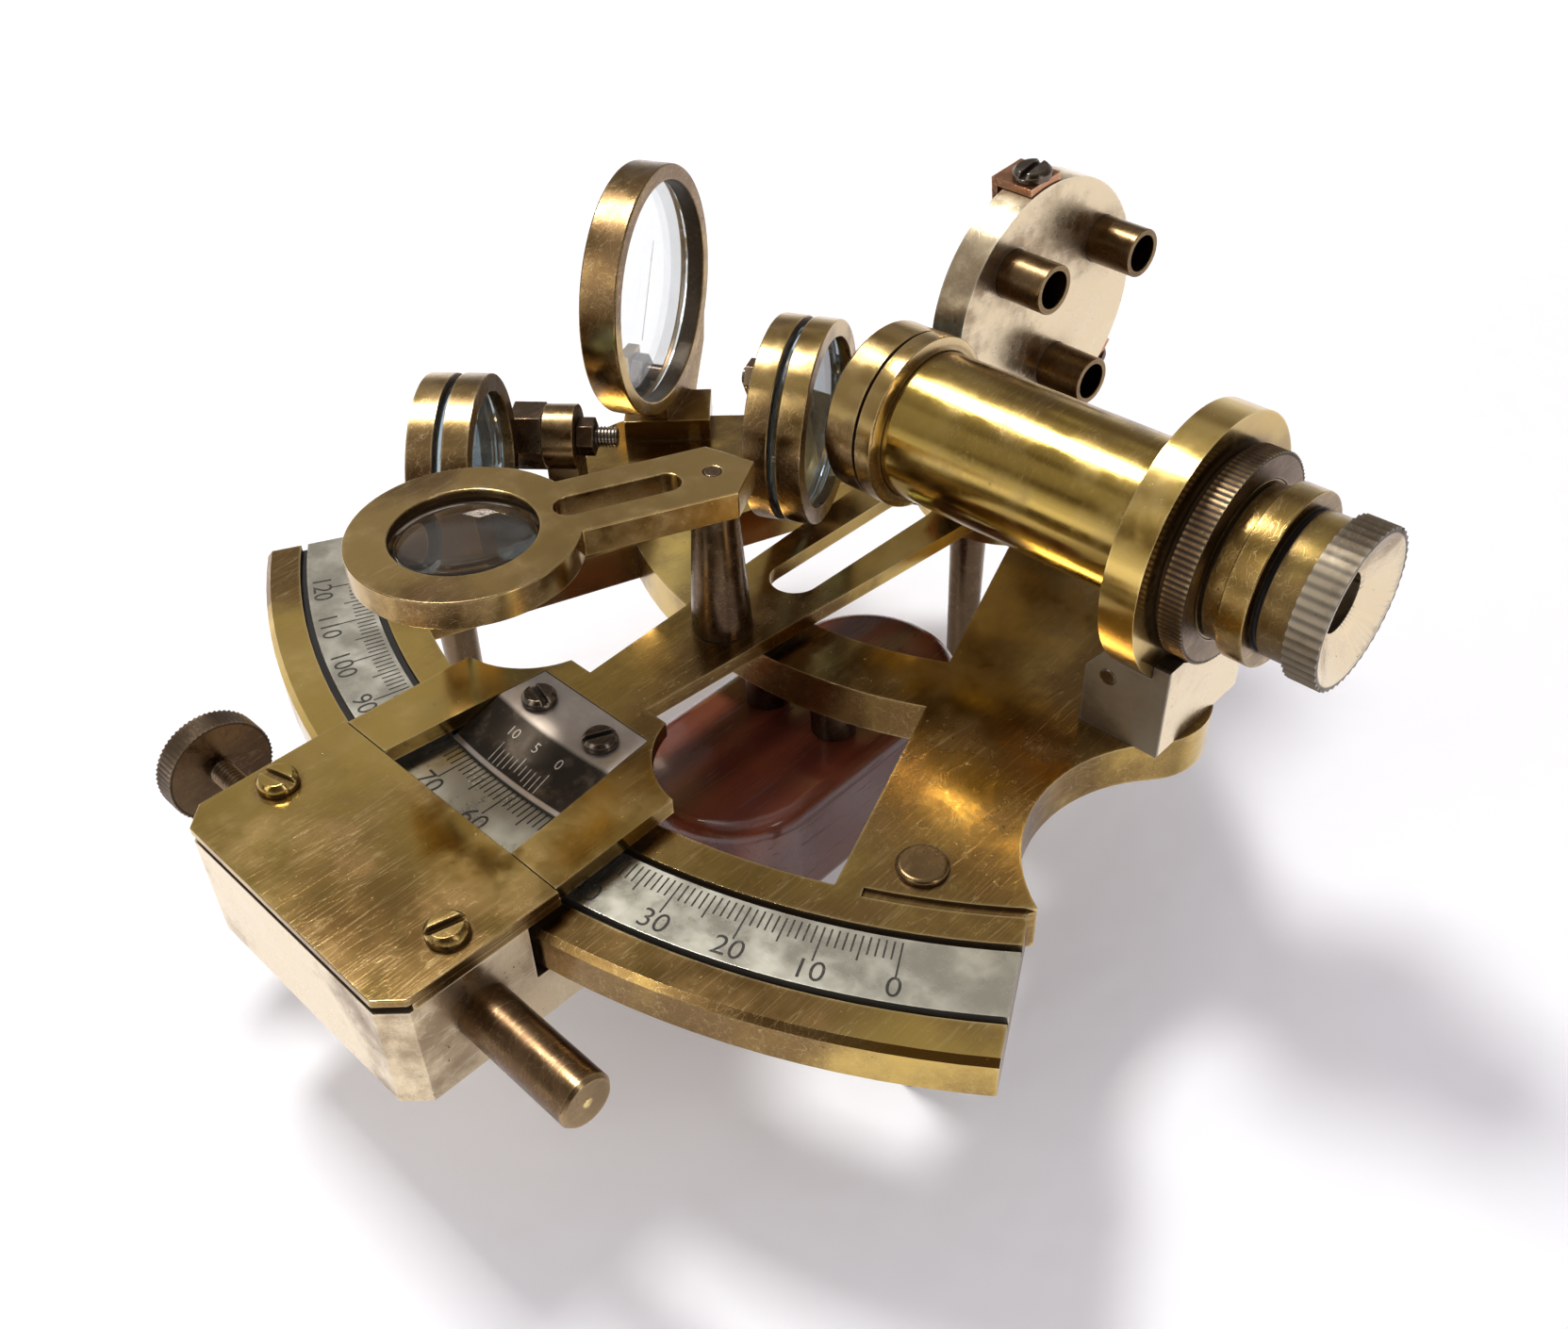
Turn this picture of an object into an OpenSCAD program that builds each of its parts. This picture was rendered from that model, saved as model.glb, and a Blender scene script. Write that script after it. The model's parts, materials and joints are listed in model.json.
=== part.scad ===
// Small brass sextant on three legs, in millimetres.
// The plan is drawn about the index pivot: -Y runs to the middle of the scale, +X to its zero end.
// The finished part is moved so that its origin is the middle of the rear foot's sole.

/* [Limb and frame] */
// Radius of the limb's inner edge
limb_in_r = 75; // [73:0.5:76]
// Width of the limb inside the line where the divisions start
inner_rail = 5; // [4:0.1:6]
// Width of the limb outside the line where the divisions start
outer_rail = 11.3; // [11:0.1:12]
// Thickness of the limb and frame
limb_t = 5; // [4:0.5:6]
// Bevel along the limb's outer edges
limb_bevel = 0.6; // [0.2:0.1:1]
// Angle of the limb's ends from its middle
limb_end_a = 37.6; // [36:0.2:39]
// Turn of the end faces away from the radius
limb_end_skew = 9.7; // [0:0.1:14]
// Inner radius of the crossbar
crossbar_in_r = 41.5; // [38:0.5:43]
// Outer radius of the crossbar
crossbar_out_r = 49; // [48:0.5:52]
// Radius of the frame's hub
hub_r = 12; // [11:0.5:13]
// Half width of the openings at the pivot
open_x0 = 5.5; // [4:0.5:7]
// Widening of the openings per millimetre towards the limb
open_slope = 0.375; // [0.34:0.005:0.39]
// Radius of the rounded shoulder of each side rail
lobe_r = 7.5; // [7:0.5:9]
// Depth of the groove beside the limb's inner edge
rim_groove_d = 0.4; // [0.2:0.1:1]
// Angle from the middle at which that groove starts
rim_groove_a = 26.5; // [26:0.5:30]

/* [Scale] */
// Width of the inlaid scale strip
strip_w = 7; // [6:0.1:8]
// Distance from the strip's inner edge to the start of the divisions
strip_lead = 0.4; // [0.2:0.1:1]
// Thickness of the scale strip
strip_t = 0.8; // [0.5:0.1:1.2]
// Open groove on each side of the strip
strip_gap = 0.75; // [0.3:0.05:1]

/* [Legs and handle] */
// Height of the frame's underside above the table
leg_len = 26; // [22:0.5:32]
// Radius of a leg at its top
leg_r = 2.25; // [2.1:0.05:2.6]
// Radius of a leg at its foot
foot_r = 1.9; // [1.5:0.1:2.2]
// Distance of the front legs from the middle line
front_leg_x = 35.7; // [34:0.1:37]
// Distance of the front legs in front of the pivot
front_leg_y = 61.4; // [60:0.1:63]
// Distance of the rear leg in front of the pivot
rear_leg_y = 8; // [7.8:0.1:8.4]
// Radius of a stud's head
stud_head_r = 2.5; // [2:0.1:2.8]
// Height of a stud's head above the frame
stud_head_h = 0.8; // [0.5:0.1:0.9]
// Radius of a stud's shank
stud_r = 1.3; // [1:0.1:1.5]
// Half width of the wooden handle
handle_r = 11; // [9:0.1:12]
// Length of the handle between the middles of its round ends
handle_len = 21.4; // [18:0.2:28]
// Thickness of the handle
handle_t = 14; // [10:0.5:15]
// Distance of the handle's middle line from the pivot's
handle_x = 5; // [4:0.1:7]
// Distance of the handle's rear round end in front of the pivot
handle_y = 33.8; // [30:0.1:36]
// Rounding of the handle's edges
handle_round = 2; // [1:0.1:3]
// Length of the pillars between frame and handle
pillar_len = 5; // [3:0.5:6]
// Radius of the pillars
pillar_r = 2.5; // [2:0.1:3]
// Distance between the pillars
pillar_gap = 9; // [7:0.5:12]

/* [Index arm] */
// Clearance between frame and index arm
arm_lift = 1.1; // [1:0.05:1.4]
// Thickness of the index arm
arm_t = 1.7; // [1.5:0.1:2]
// Half width of the arm at the pivot
arm_hub_r = 9.6; // [9:0.1:11]
// Half width of the arm at the near end of its waist
arm_neck_w = 4.3; // [4:0.1:5]
// How far the arm's foot is set in from the box's side
foot_inset = 0.5; // [0.2:0.05:0.9]
// Half width of the slot in the arm
arm_slot_w = 2.9; // [2:0.1:3]
// Near end of the slot from the pivot
arm_slot_out = 39.1; // [36:0.1:41]
// Far end of the slot from the pivot
arm_slot_in = 19.9; // [18:0.1:24]
// Distance of the arm's foot seam from the limb's outer edge
seam_inside = 4.7; // [4.3:0.1:5.3]
// Angle of the arm from the middle of the scale at rest
arm_rest = -0.96; // [-2:0.01:2]
// Radius of the pivot
pivot_r = 2.5; // [2:0.1:3]

/* [Vernier] */
// How far the vernier plate reaches in from the divisions
vernier_reach = 11.8; // [11:0.1:12.2]
// Half width of the vernier plate
vernier_w = 7.9; // [7:0.1:8.4]
// Thickness of the vernier plate
vernier_t = 0.9; // [0.7:0.1:1]
// Height of the plate's graduated edge above the scale
vernier_lift = 0.25; // [0.2:0.05:0.5]

/* [Clamp] */
// Depth of the clamp box from the arm's seam
box_len = 18.4; // [17:0.1:20]
// Half width of the clamp box
box_w = 16.8; // [16:0.1:17.5]
// Depth of the box's floor below the frame's face
box_drop = 11.2; // [10.8:0.1:12]
// Wall thickness of the box
box_wall = 1.8; // [1.5:0.1:2.2]
// Cut on the box's outer corners
box_corner = 2.2; // [1:0.1:3]
// Clearance between the box and the limb
limb_clear = 0.6; // [0.4:0.1:1]
// Depth of the tangent screw below the frame's face
screw_drop = 4.6; // [4.2:0.1:5]
// Distance of the tangent screw from the limb's outer edge
screw_beyond = 4.9; // [4.5:0.1:5.7]
// Radius of the tangent screw
screw_r = 1.3; // [1:0.05:1.5]
// Pitch of the tangent screw
screw_pitch = 0.5; // [0.35:0.05:0.7]
// Travel of the clamp each way
clamp_travel = 2.5; // [1:0.1:3]
// Half width of the sliding clamp
clamp_w = 6; // [5:0.1:7]
// Radius of the tangent knob
knob_r = 5.8; // [5:0.1:7]
// Thickness of the tangent knob
knob_t = 3; // [2:0.1:4]
// Gap between the knob and the box
knob_gap = 10.9; // [8:0.1:12]
// Radius of the spring barrel
barrel_r = 2.7; // [2.5:0.1:3]
// Length of the spring barrel outside the box
barrel_len = 14; // [12:0.5:18]

/* [Magnifier] */
// Distance of the magnifier post from the pivot
post_out = 50.4; // [48:0.1:52]
// Height of the magnifier's underside above the frame
magnifier_z = 19; // [17:0.1:21]
// Radius of the post at its base
post_base_r = 3.3; // [3:0.1:3.6]
// Radius of the post at its top
post_top_r = 2.3; // [2:0.1:2.6]
// Thickness of the magnifier's arm and ring
magnifier_t = 3; // [2:0.1:4]
// Outer radius of the magnifier's ring
magnifier_r = 11.3; // [10:0.1:12]
// Radius of the magnifier's clear opening
magnifier_hole_r = 7.15; // [6:0.05:8]
// Distance from the post to the middle of the magnifier
magnifier_reach = 25; // [24:0.1:27]
// Angle of the magnifier from the arm's middle line
magnifier_a = -23.6; // [-24:0.1:-10]

/* [Telescope] */
// Height of the telescope's axis above the frame
scope_z = 20; // [19.5:0.1:22]
// Distance of the telescope's axis in front of the pivot
scope_y = 26.9; // [26.5:0.1:28]
// Left face of the telescope
scope_x0 = 1; // [0.5:0.1:3]
// Radius of the telescope's tube
tube_r = 8; // [7.8:0.1:8.4]
// Wall of the telescope's tube
tube_wall = 0.8; // [0.6:0.1:1]
// Radius of the objective's ring
objective_r = 9.3; // [9:0.1:9.5]
// Length of the objective's ring
objective_len = 6.8; // [6:0.1:8]
// Position of the collar's left face
collar_x = 38; // [36:0.1:40]
// Thickness of the collar
collar_t = 3.7; // [3:0.1:4.5]
// Radius of the collar
collar_r = 13.4; // [12:0.1:13.8]
// Radius of the knurled lock ring
lock_r = 10.6; // [10:0.1:12]
// Thickness of the knurled lock ring
lock_t = 3.1; // [2.5:0.1:4]
// Radius of the eyepiece's flange
flange_r = 8.67; // [8:0.05:9]
// Radius of the eyepiece's cap
cap_r = 8; // [7.6:0.1:9]
// Thickness of the eyepiece's cap
cap_t = 3.2; // [2.5:0.1:4]
// Radius of the sight hole
sight_r = 3; // [2:0.1:3.5]

/* [Mirrors] */
// Radius of the index mirror's disc
disc_r = 15.4; // [14:0.1:15.6]
// Thickness of the index mirror's disc
disc_t = 4.2; // [3.5:0.1:5]
// Height of the index mirror's middle above the frame
disc_z = 21; // [20:0.1:22]
// Distance of the index mirror's disc to the right of the pivot
disc_x = 0.6; // [0:0.1:1]
// Distance of the index mirror's disc behind the pivot
disc_y = 0.9; // [0:0.1:1]
// Turn of the index mirror on the arm
disc_turn = -2.4; // [-4:0.1:4]
// Radius of the tubes on the disc
stub_r = 2.8; // [2:0.1:3]
// Length of the tubes on the disc
stub_len = 6; // [4:0.5:6.5]
// Radius of the horizon mirror's ring
horizon_r = 15.1; // [14:0.1:15.3]
// Radius of the horizon mirror's opening
horizon_hole_r = 13.2; // [12:0.1:13.4]
// Thickness of the horizon mirror's ring
horizon_t = 4.6; // [4:0.1:5]
// Thickness of the mirrors' glass
glass_t = 1.6; // [1.2:0.1:2]

/* [Shades] */
// Outer radius of the index shades
index_shade_r = 11.3; // [10:0.1:11.5]
// Outer radius of the horizon shades
horizon_shade_r = 10.7; // [10:0.1:10.8]
// Thickness of a shade's ring
shade_t = 2.8; // [2.4:0.1:3]
// Width of a shade ring's rim
shade_rim = 1.9; // [1.5:0.1:2.5]
// Gap between two shades
shade_gap = 0.9; // [0.7:0.1:1.2]
// Distance from the hinge bolt to the middle of a shade
shade_reach = 15.6; // [15.4:0.1:16.5]
// Angle of the stowed shades above the level
shade_rest = 16; // [14:0.5:20]
// Radius of the shades' hinge bolts
bolt_r = 1.1; // [1:0.05:1.3]

/* [Fits] */
// Radial clearance of a turning or sliding fit
run_clear = 0.05; // [0.02:0.01:0.1]
// Radial clearance of a fixed fit
seat_clear = 0.03; // [0.02:0.01:0.1]
// Clearance between faces that move past each other
face_clear = 0.15; // [0.1:0.05:0.3]

/* [Hidden] */
$fn = 72;

brass = "#b08d45";
dark_brass = "#7a6238";
bronze = "#5b4a38";
steel = "#4a4642";
silver = "#b9b5a8";
copper = "#a8674a";
wood = "#6e2a1c";
clear_glass = "#cfe3e6";
dark_glass = "#3c4a48";

eps = 0.01;
scale_r = limb_in_r + inner_rail;
limb_out_r = scale_r + outer_rail;
arm_z = arm_lift;
arm_top = arm_lift + arm_t;
strip_in_r = scale_r - strip_lead;
strip_out_r = strip_in_r + strip_w;
recess_in_r = strip_in_r - strip_gap;
recess_out_r = strip_out_r + strip_gap;
lobe_c = [37, -28];
waist_c = [54.2, -44.3];
waist_r = norm(waist_c - lobe_c) - lobe_r - 0.05;
leg_spots = [[0, -rear_leg_y], [front_leg_x, -front_leg_y], [-front_leg_x, -front_leg_y]];
stud_depth = 6;
handle_top = -limb_t - pillar_len;
crossbar_mid_r = (crossbar_in_r + crossbar_out_r) / 2;
handle_screw_r = 1.25;
pillar_angles = [for (s = [-1, 1]) asin((handle_x + s * pillar_gap / 2) / crossbar_mid_r)];

arm_seam = limb_out_r - seam_inside;
arm_foot_w = box_w - foot_inset;
vernier_in = scale_r - vernier_reach;
screw_out = limb_out_r + screw_beyond;
box_out = arm_seam + box_len;
wall_in = limb_out_r + limb_clear;
cavity_in = wall_in + box_wall;
cavity_out = box_out - box_wall;
cavity_w = box_w - box_wall;
floor_z = -box_drop + box_wall;
lip_in = arm_seam - 1.6;
jaw_in = arm_seam - 0.1;
jaw_top = -limb_t - 0.25;
clamp_screw_out = limb_out_r - 1.8;
clamp_screw_r = 1.5;

index_az = 25.6;
index_hinge = [-14, -16.7, 12];
horizon_shade_az = 39;
horizon_hinge = [-39.4, -48.3, 10];
eye_r = 3.8;
eye_t = 3.7;
lug_t = 1.2;
nut_t = 2;
nut_r = 2.3;
spacer_r = 4;
head_z = 1.7;
eye_z = 5.65;
index_bolt_tail = 0.6;
horizon_bolt_tail = 2.6;
bolt_clear = bolt_r + run_clear;

horizon_az = 25;
horizon_c = [-38.2, -24.6, 20];
horizon_base_t = 3;
horizon_base_c = [-38.3, -22.8];
disc_back = 1.9;
clip_t = 0.8;
clip_w = 5;
clip_angles = [97.5, 222, -42];
clip_screw_z = 0.2;
clip_screw_r = 0.9;
stub_spots = [[9, 5.9], [-7.1, 7], [1.8, -7.7]];
foot_plate_t = 1.6;
foot_screw_x = 5.05;
foot_screw_y = 6.5;

bracket_screw_r = 1.1;
block_x = 34.5;
block_y = 35;
block_w = 9;
block_len = 15;
block_h = 10.6;
block_skin = 2;
foot_x = 35.7;
foot_z = 3;
foot_len = 10;
pin_x = 37.1;
pin_z = 6.8;
pin_r = 0.9;
pin_len = 6;
lens_t = 1.4;
tube_x0 = scope_x0 + lens_t + 1.1;
tube_x1 = collar_x + collar_t + lock_t;
eye_x0 = tube_x1 + 0.3;
draw_len = 13;
cap_x = eye_x0 + 8.1;

cover_t = 0.9;
pin_head_r = 4.4;
pin_head_h = 0.8;
nut_len = 3.4;
ledge_out = scale_r - 5.4;
vernier_screw_x = 4.7;
vernier_screw_out = vernier_in + 3.3;
vernier_screw_r = 0.9;
cover_screw_x = box_w - 3.3;
cover_screw_out = screw_out;
cover_screw_r = 1.2;
spigot_r = 1.5;
rivet_r = 0.9;
jaw_floor = floor_z + 1;
neck_r = barrel_r - 0.45;
barrel_bore_r = barrel_r - 0.85;
plunger_head = 14;
plunger_head_t = 1.2;
plunger_rod_r = 0.9;
plunger_seat = 2;
tip_depth = 2;

// Point in plan at a radius and an angle from the middle of the scale
function polar(r, a) = [r * sin(a), -r * cos(a)];
// Middle of a shade bracket's foot in plan, on the side of the hinge given by side
function foot_of(h, az, side) = [h[0], h[1]] + side * (eye_z + eye_t / 2) * [cos(az), sin(az)];
// Point where a tangent meets a circle, for two circles joined on one side
function tangent_pt(c, r, d, turn) = c + r * [cos(turn) * d[0] - sin(turn) * d[1],
                                              sin(turn) * d[0] + cos(turn) * d[1]];

bracket_spots = [foot_of(index_hinge, index_az, -1), foot_of(horizon_hinge, horizon_shade_az, 1),
                 [-34.3, -22], [-39.1, -25.4], [37, -33], [37, -25.5]];

module at_pivot() {
    translate([0, rear_leg_y, leg_len + limb_t]) children();
}
module on_arm() {
    at_pivot() rotate([0, 0, arm_rest]) children();
}
// Turns a piece so that its own Z points along a level direction and its Y points up
module facing(az) {
    rotate([0, 0, az]) rotate([90, 0, 90]) children();
}
// Straight-sided band round two circles
module band(c1, r1, c2, r2) {
    d = (c2 - c1) / norm(c2 - c1);
    t = acos((r1 - r2) / norm(c2 - c1));
    translate(c1) circle(r = r1);
    translate(c2) circle(r = r2);
    polygon([tangent_pt(c1, r1, d, t), tangent_pt(c1, r1, d, -t),
             tangent_pt(c2, r2, d, -t), tangent_pt(c2, r2, d, t)]);
}
// Screw with a bevelled head above Z = 0 and a shank below it
module screw(head_r, head_h, shank_r, len, slot = 0.7) {
    difference() {
        union() {
            cylinder(h = head_h * 0.6, r = head_r);
            translate([0, 0, head_h * 0.6]) cylinder(h = head_h * 0.4, r1 = head_r, r2 = head_r * 0.8);
            translate([0, 0, -len]) cylinder(h = len + eps, r = shank_r);
        }
        if (slot > 0)
            translate([-head_r - 1, -slot / 2, head_h * 0.45]) cube([2 * head_r + 2, slot, head_h]);
    }
}
// Disc with straight knurling all round
module knurled(r, t, teeth, depth) {
    linear_extrude(t) polygon([for (i = [0 : 2 * teeth - 1])
        let (a = i * 180 / teeth, q = i % 2 == 0 ? r : r - depth) [q * cos(a), q * sin(a)]]);
}
// Half outline of a rounded bar, for turning or mirroring
module half_round_bar(w, h, r) {
    square([w - r, h]);
    translate([0, r]) square([w, h - 2 * r]);
    for (y = [r, h - r]) translate([w - r, y]) circle(r = r);
}

// Frame and limb

module opening_wedge() {
    y0 = 4;
    y1 = limb_out_r;
    w0 = open_x0 + open_slope * y0;
    w1 = open_x0 + open_slope * y1;
    polygon([[-w0, -y0], [w0, -y0], [w1, -y1], [-w1, -y1]]);
}
module web_plan() {
    difference() {
        union() {
            circle(r = hub_r);
            for (m = [0, 1]) mirror([m, 0]) {
                band([0, 0], hub_r, lobe_c, lobe_r);
                intersection() {
                    circle(r = limb_in_r + 0.4);
                    difference() {
                        polygon([[0, 0], lobe_c, waist_c, polar(limb_in_r, limb_end_a),
                                 1.4 * polar(limb_in_r, limb_end_a), [0, -limb_out_r]]);
                        translate(waist_c) circle(r = waist_r);
                    }
                }
            }
        }
        intersection() {
            difference() {
                circle(r = limb_in_r + 0.2);
                circle(r = crossbar_out_r);
            }
            opening_wedge();
        }
        intersection() {
            difference() {
                circle(r = crossbar_in_r);
                circle(r = hub_r);
            }
            opening_wedge();
        }
    }
}
module limb_profile() {
    b = limb_bevel;
    polygon([[limb_in_r, -limb_t], [limb_out_r - b, -limb_t], [limb_out_r, b - limb_t],
             [limb_out_r, -b], [limb_out_r - b, 0], [recess_out_r, 0], [recess_out_r, -strip_t],
             [recess_in_r, -strip_t], [recess_in_r, 0], [limb_in_r, 0]]);
}
module limb_ends() {
    for (m = [0, 1]) mirror([m, 0, 0])
        translate(polar(limb_in_r + 2, limb_end_a)) rotate([0, 0, limb_end_a - limb_end_skew])
            translate([0, -40, -limb_t - 2]) cube([40, 60, limb_t + 4]);
}
module arc_sweep(half_a) {
    rotate([0, 0, -90 - half_a]) rotate_extrude(angle = 2 * half_a, $fn = 180) children();
}
module rim_groove() {
    span = limb_end_a + 3 - rim_groove_a;
    for (m = [0, 1]) mirror([m, 0, 0]) rotate([0, 0, rim_groove_a - 90])
        rotate_extrude(angle = span, $fn = 180) translate([limb_in_r - 0.4, -rim_groove_d])
            square([1.1, rim_groove_d + 1]);
}
module frame() {
    color(brass) at_pivot() difference() {
        union() {
            translate([0, 0, 0.05 - limb_t]) linear_extrude(limb_t - 0.05) web_plan();
            difference() {
                arc_sweep(limb_end_a + 3) limb_profile();
                limb_ends();
            }
        }
        rim_groove();
        translate([0, 0, -limb_t - 1]) cylinder(h = limb_t + 2, r = pivot_r + run_clear);
        for (p = leg_spots)
            translate([p[0], p[1], -limb_t - 1]) cylinder(h = limb_t + 2, r = stud_r + seat_clear);
        for (p = bracket_spots) translate([p[0], p[1], -limb_t - 1])
            cylinder(h = limb_t + 2, r = bracket_screw_r + seat_clear);
        for (a = pillar_angles) translate(polar(crossbar_mid_r, a)) translate([0, 0, -limb_t - 1])
            cylinder(h = limb_t - 0.5, r = handle_screw_r + seat_clear);
    }
}
module scale_strip() {
    color(silver) at_pivot() difference() {
        arc_sweep(limb_end_a + 3) polygon([[strip_in_r, -strip_t], [strip_out_r, -strip_t],
                                           [strip_out_r, 0], [strip_in_r, 0]]);
        limb_ends();
    }
}

// Legs, studs and handle

module legs() {
    color(bronze) at_pivot() for (p = leg_spots) translate([p[0], p[1], -limb_t - leg_len])
        difference() {
            union() {
                cylinder(h = leg_len - 3, r1 = foot_r, r2 = leg_r);
                translate([0, 0, leg_len - 3]) cylinder(h = 3, r = leg_r);
            }
            translate([0, 0, leg_len - stud_depth - 0.5])
                cylinder(h = stud_depth + 1, r = stud_r + seat_clear);
        }
}
module leg_studs() {
    color(bronze) at_pivot() for (p = leg_spots) translate([p[0], p[1], 0])
        screw(stud_head_r, stud_head_h, stud_r, limb_t + stud_depth, 0);
}
module handle_bar() {
    for (y = [-handle_y, -handle_y - handle_len]) translate([0, y, 0])
        rotate_extrude() half_round_bar(handle_r, handle_t, handle_round);
    translate([0, -handle_y, 0]) rotate([90, 0, 0]) linear_extrude(handle_len)
        for (m = [0, 1]) mirror([m, 0]) half_round_bar(handle_r, handle_t, handle_round);
}
module handle() {
    color(wood) at_pivot() difference() {
        translate([handle_x, 0, handle_top - handle_t]) handle_bar();
        for (a = pillar_angles) translate(polar(crossbar_mid_r, a)) {
            translate([0, 0, handle_top - handle_t - 1])
                cylinder(h = handle_t + 2, r = handle_screw_r + seat_clear);
            translate([0, 0, handle_top - handle_t - 1]) cylinder(h = 2.6, r = 2.7);
        }
    }
}
module handle_pillars() {
    color(dark_brass) at_pivot() for (a = pillar_angles) translate(polar(crossbar_mid_r, a))
        translate([0, 0, handle_top]) difference() {
            cylinder(h = pillar_len, r = pillar_r);
            translate([0, 0, -1]) cylinder(h = pillar_len + 2, r = handle_screw_r + seat_clear);
        }
}
module handle_screws() {
    len = handle_t + pillar_len + limb_t - 3.2;
    color(brass) at_pivot() for (a = pillar_angles) translate(polar(crossbar_mid_r, a))
        translate([0, 0, handle_top - handle_t + 1.6]) rotate([180, 0, 0])
            screw(2.6, 1.3, handle_screw_r, len);
}
module bracket_screws() {
    color(steel) at_pivot() for (p = bracket_spots) translate([p[0], p[1], -limb_t])
        rotate([180, 0, 0]) screw(2, 1, bracket_screw_r, limb_t + 2.2);
}

// Horizon mirror

module horizon_frame() {
    color(brass) at_pivot() translate(horizon_c) facing(horizon_az)
        translate([0, 0, -horizon_t / 2]) difference() {
            cylinder(h = horizon_t, r = horizon_r);
            translate([0, 0, -1]) cylinder(h = horizon_t + 2, r = horizon_hole_r);
            translate([0, 0, -1]) cylinder(h = 1 + horizon_t / 2, r = horizon_hole_r + 0.7);
        }
}
module horizon_glass() {
    color(clear_glass) at_pivot() translate(horizon_c) facing(horizon_az)
        translate([0, 0, -glass_t]) cylinder(h = glass_t - 0.02, r = horizon_hole_r + 0.7 - seat_clear);
}
module horizon_bracket() {
    plate_t = horizon_t - 0.6;
    z0 = -horizon_c[2];
    color(brass) at_pivot() difference() {
        union() {
            translate(horizon_base_c) rotate([0, 0, 43.5]) translate([-5.5, -3.5, 0])
                cube([11, 8, horizon_base_t]);
            translate(horizon_c) facing(horizon_az) {
                translate([0, 0, -plate_t / 2]) linear_extrude(plate_t) difference() {
                    polygon([[-1.5, z0 + 0.5], [7.3, z0 + 0.5], [12.3, -12.5], [13.2, -8], [0, -8], [-1.5, -12]]);
                    circle(r = horizon_r + seat_clear);
                }
                translate([4.8, z0 + 0.5, -8.5]) cube([4, 7, 1.6]);
                translate([4.8, z0 + 0.05, -8.6]) cube([4, horizon_base_t - 0.45, 8]);
            }
        }
        translate(horizon_c) facing(horizon_az) translate([6.8, z0 + 4.8, -12])
            cylinder(h = 9, r = bracket_screw_r + seat_clear);
        for (i = [2, 3]) translate([bracket_spots[i][0], bracket_spots[i][1], -1])
            cylinder(h = 3.5, r = bracket_screw_r + seat_clear);
    }
}
module horizon_screw() {
    color(steel) at_pivot() translate(horizon_c) facing(horizon_az)
        translate([6.8, 4.8 - horizon_c[2], -10.5]) {
            translate([0, 0, 3.65]) cylinder(h = 1.6, r = nut_r, $fn = 6);
            cylinder(h = 10.5 - horizon_t / 2 + 0.25, r = bracket_screw_r);
        }
}

// Shades and their hinges

// A shade stands behind the gap and swings about Z; the one in front is its mirror image
module shade_ring(r) {
    translate([0, 0, -shade_gap / 2 - shade_t]) rotate([0, 0, 180 - shade_rest]) difference() {
        union() {
            translate([shade_reach, 0, 0]) cylinder(h = shade_t, r = r);
            translate([0, -2.2, shade_t - lug_t]) cube([shade_reach - r + 1.5, 4.4, lug_t]);
            translate([0, 0, shade_t - lug_t]) cylinder(h = lug_t, r = 3.2);
        }
        translate([shade_reach, 0, -1]) cylinder(h = shade_t + 2, r = r - shade_rim);
        translate([shade_reach, 0, shade_t - 1.5]) cylinder(h = 2.5, r = r - shade_rim + 0.8);
        translate([0, 0, -1]) cylinder(h = shade_t + 2, r = bolt_clear);
    }
}
module shade_glass(r) {
    translate([0, 0, -shade_gap / 2 - 1.48]) rotate([0, 0, 180 - shade_rest])
        translate([shade_reach, 0, 0]) cylinder(h = 1.7, r = r - shade_rim + 0.8 - seat_clear);
}
// Each hinge frame has its origin midway between the two shades, with Z along the bolt
module index_hinge_frame() {
    at_pivot() translate(index_hinge) facing(index_az) children();
}
module horizon_hinge_frame() {
    at_pivot() translate(horizon_hinge) facing(horizon_shade_az) children();
}
module index_shade_1() {
    color(brass) index_hinge_frame() shade_ring(index_shade_r);
}
module index_shade_glass_1() {
    color(dark_glass) index_hinge_frame() shade_glass(index_shade_r);
}
module index_shade_2() {
    color(brass) index_hinge_frame() mirror([0, 0, 1]) shade_ring(index_shade_r);
}
module index_shade_glass_2() {
    color(dark_glass) index_hinge_frame() mirror([0, 0, 1]) shade_glass(index_shade_r);
}
module horizon_shade_1() {
    color(brass) horizon_hinge_frame() shade_ring(horizon_shade_r);
}
module horizon_shade_glass_1() {
    color(dark_glass) horizon_hinge_frame() shade_glass(horizon_shade_r);
}
module horizon_shade_2() {
    color(brass) horizon_hinge_frame() mirror([0, 0, 1]) shade_ring(horizon_shade_r);
}
module horizon_shade_glass_2() {
    color(dark_glass) horizon_hinge_frame() mirror([0, 0, 1]) shade_glass(horizon_shade_r);
}
// Bolt with its head behind one shade and its thread through the bracket's eye
module hinge_bolt(tail) {
    translate([0, 0, -head_z - nut_t]) cylinder(h = nut_t, r = nut_r, $fn = 6);
    translate([0, 0, -head_z - eps])
        cylinder(h = head_z + eye_z + eye_t + 0.05 + nut_t + tail, r = bolt_r);
}
// Washer between the shades, hexagonal spacer against the eye and nut behind it
module hinge_nuts() {
    difference() {
        union() {
            translate([0, 0, 0.05 - shade_gap / 2]) cylinder(h = shade_gap - 0.1, r = 2.6);
            translate([0, 0, head_z + 0.05]) cylinder(h = eye_z - head_z - 0.1, r = spacer_r, $fn = 6);
            translate([0, 0, eye_z + eye_t + 0.05]) cylinder(h = nut_t, r = nut_r, $fn = 6);
        }
        translate([0, 0, -1]) cylinder(h = 40, r = bolt_r + seat_clear);
    }
}
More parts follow.
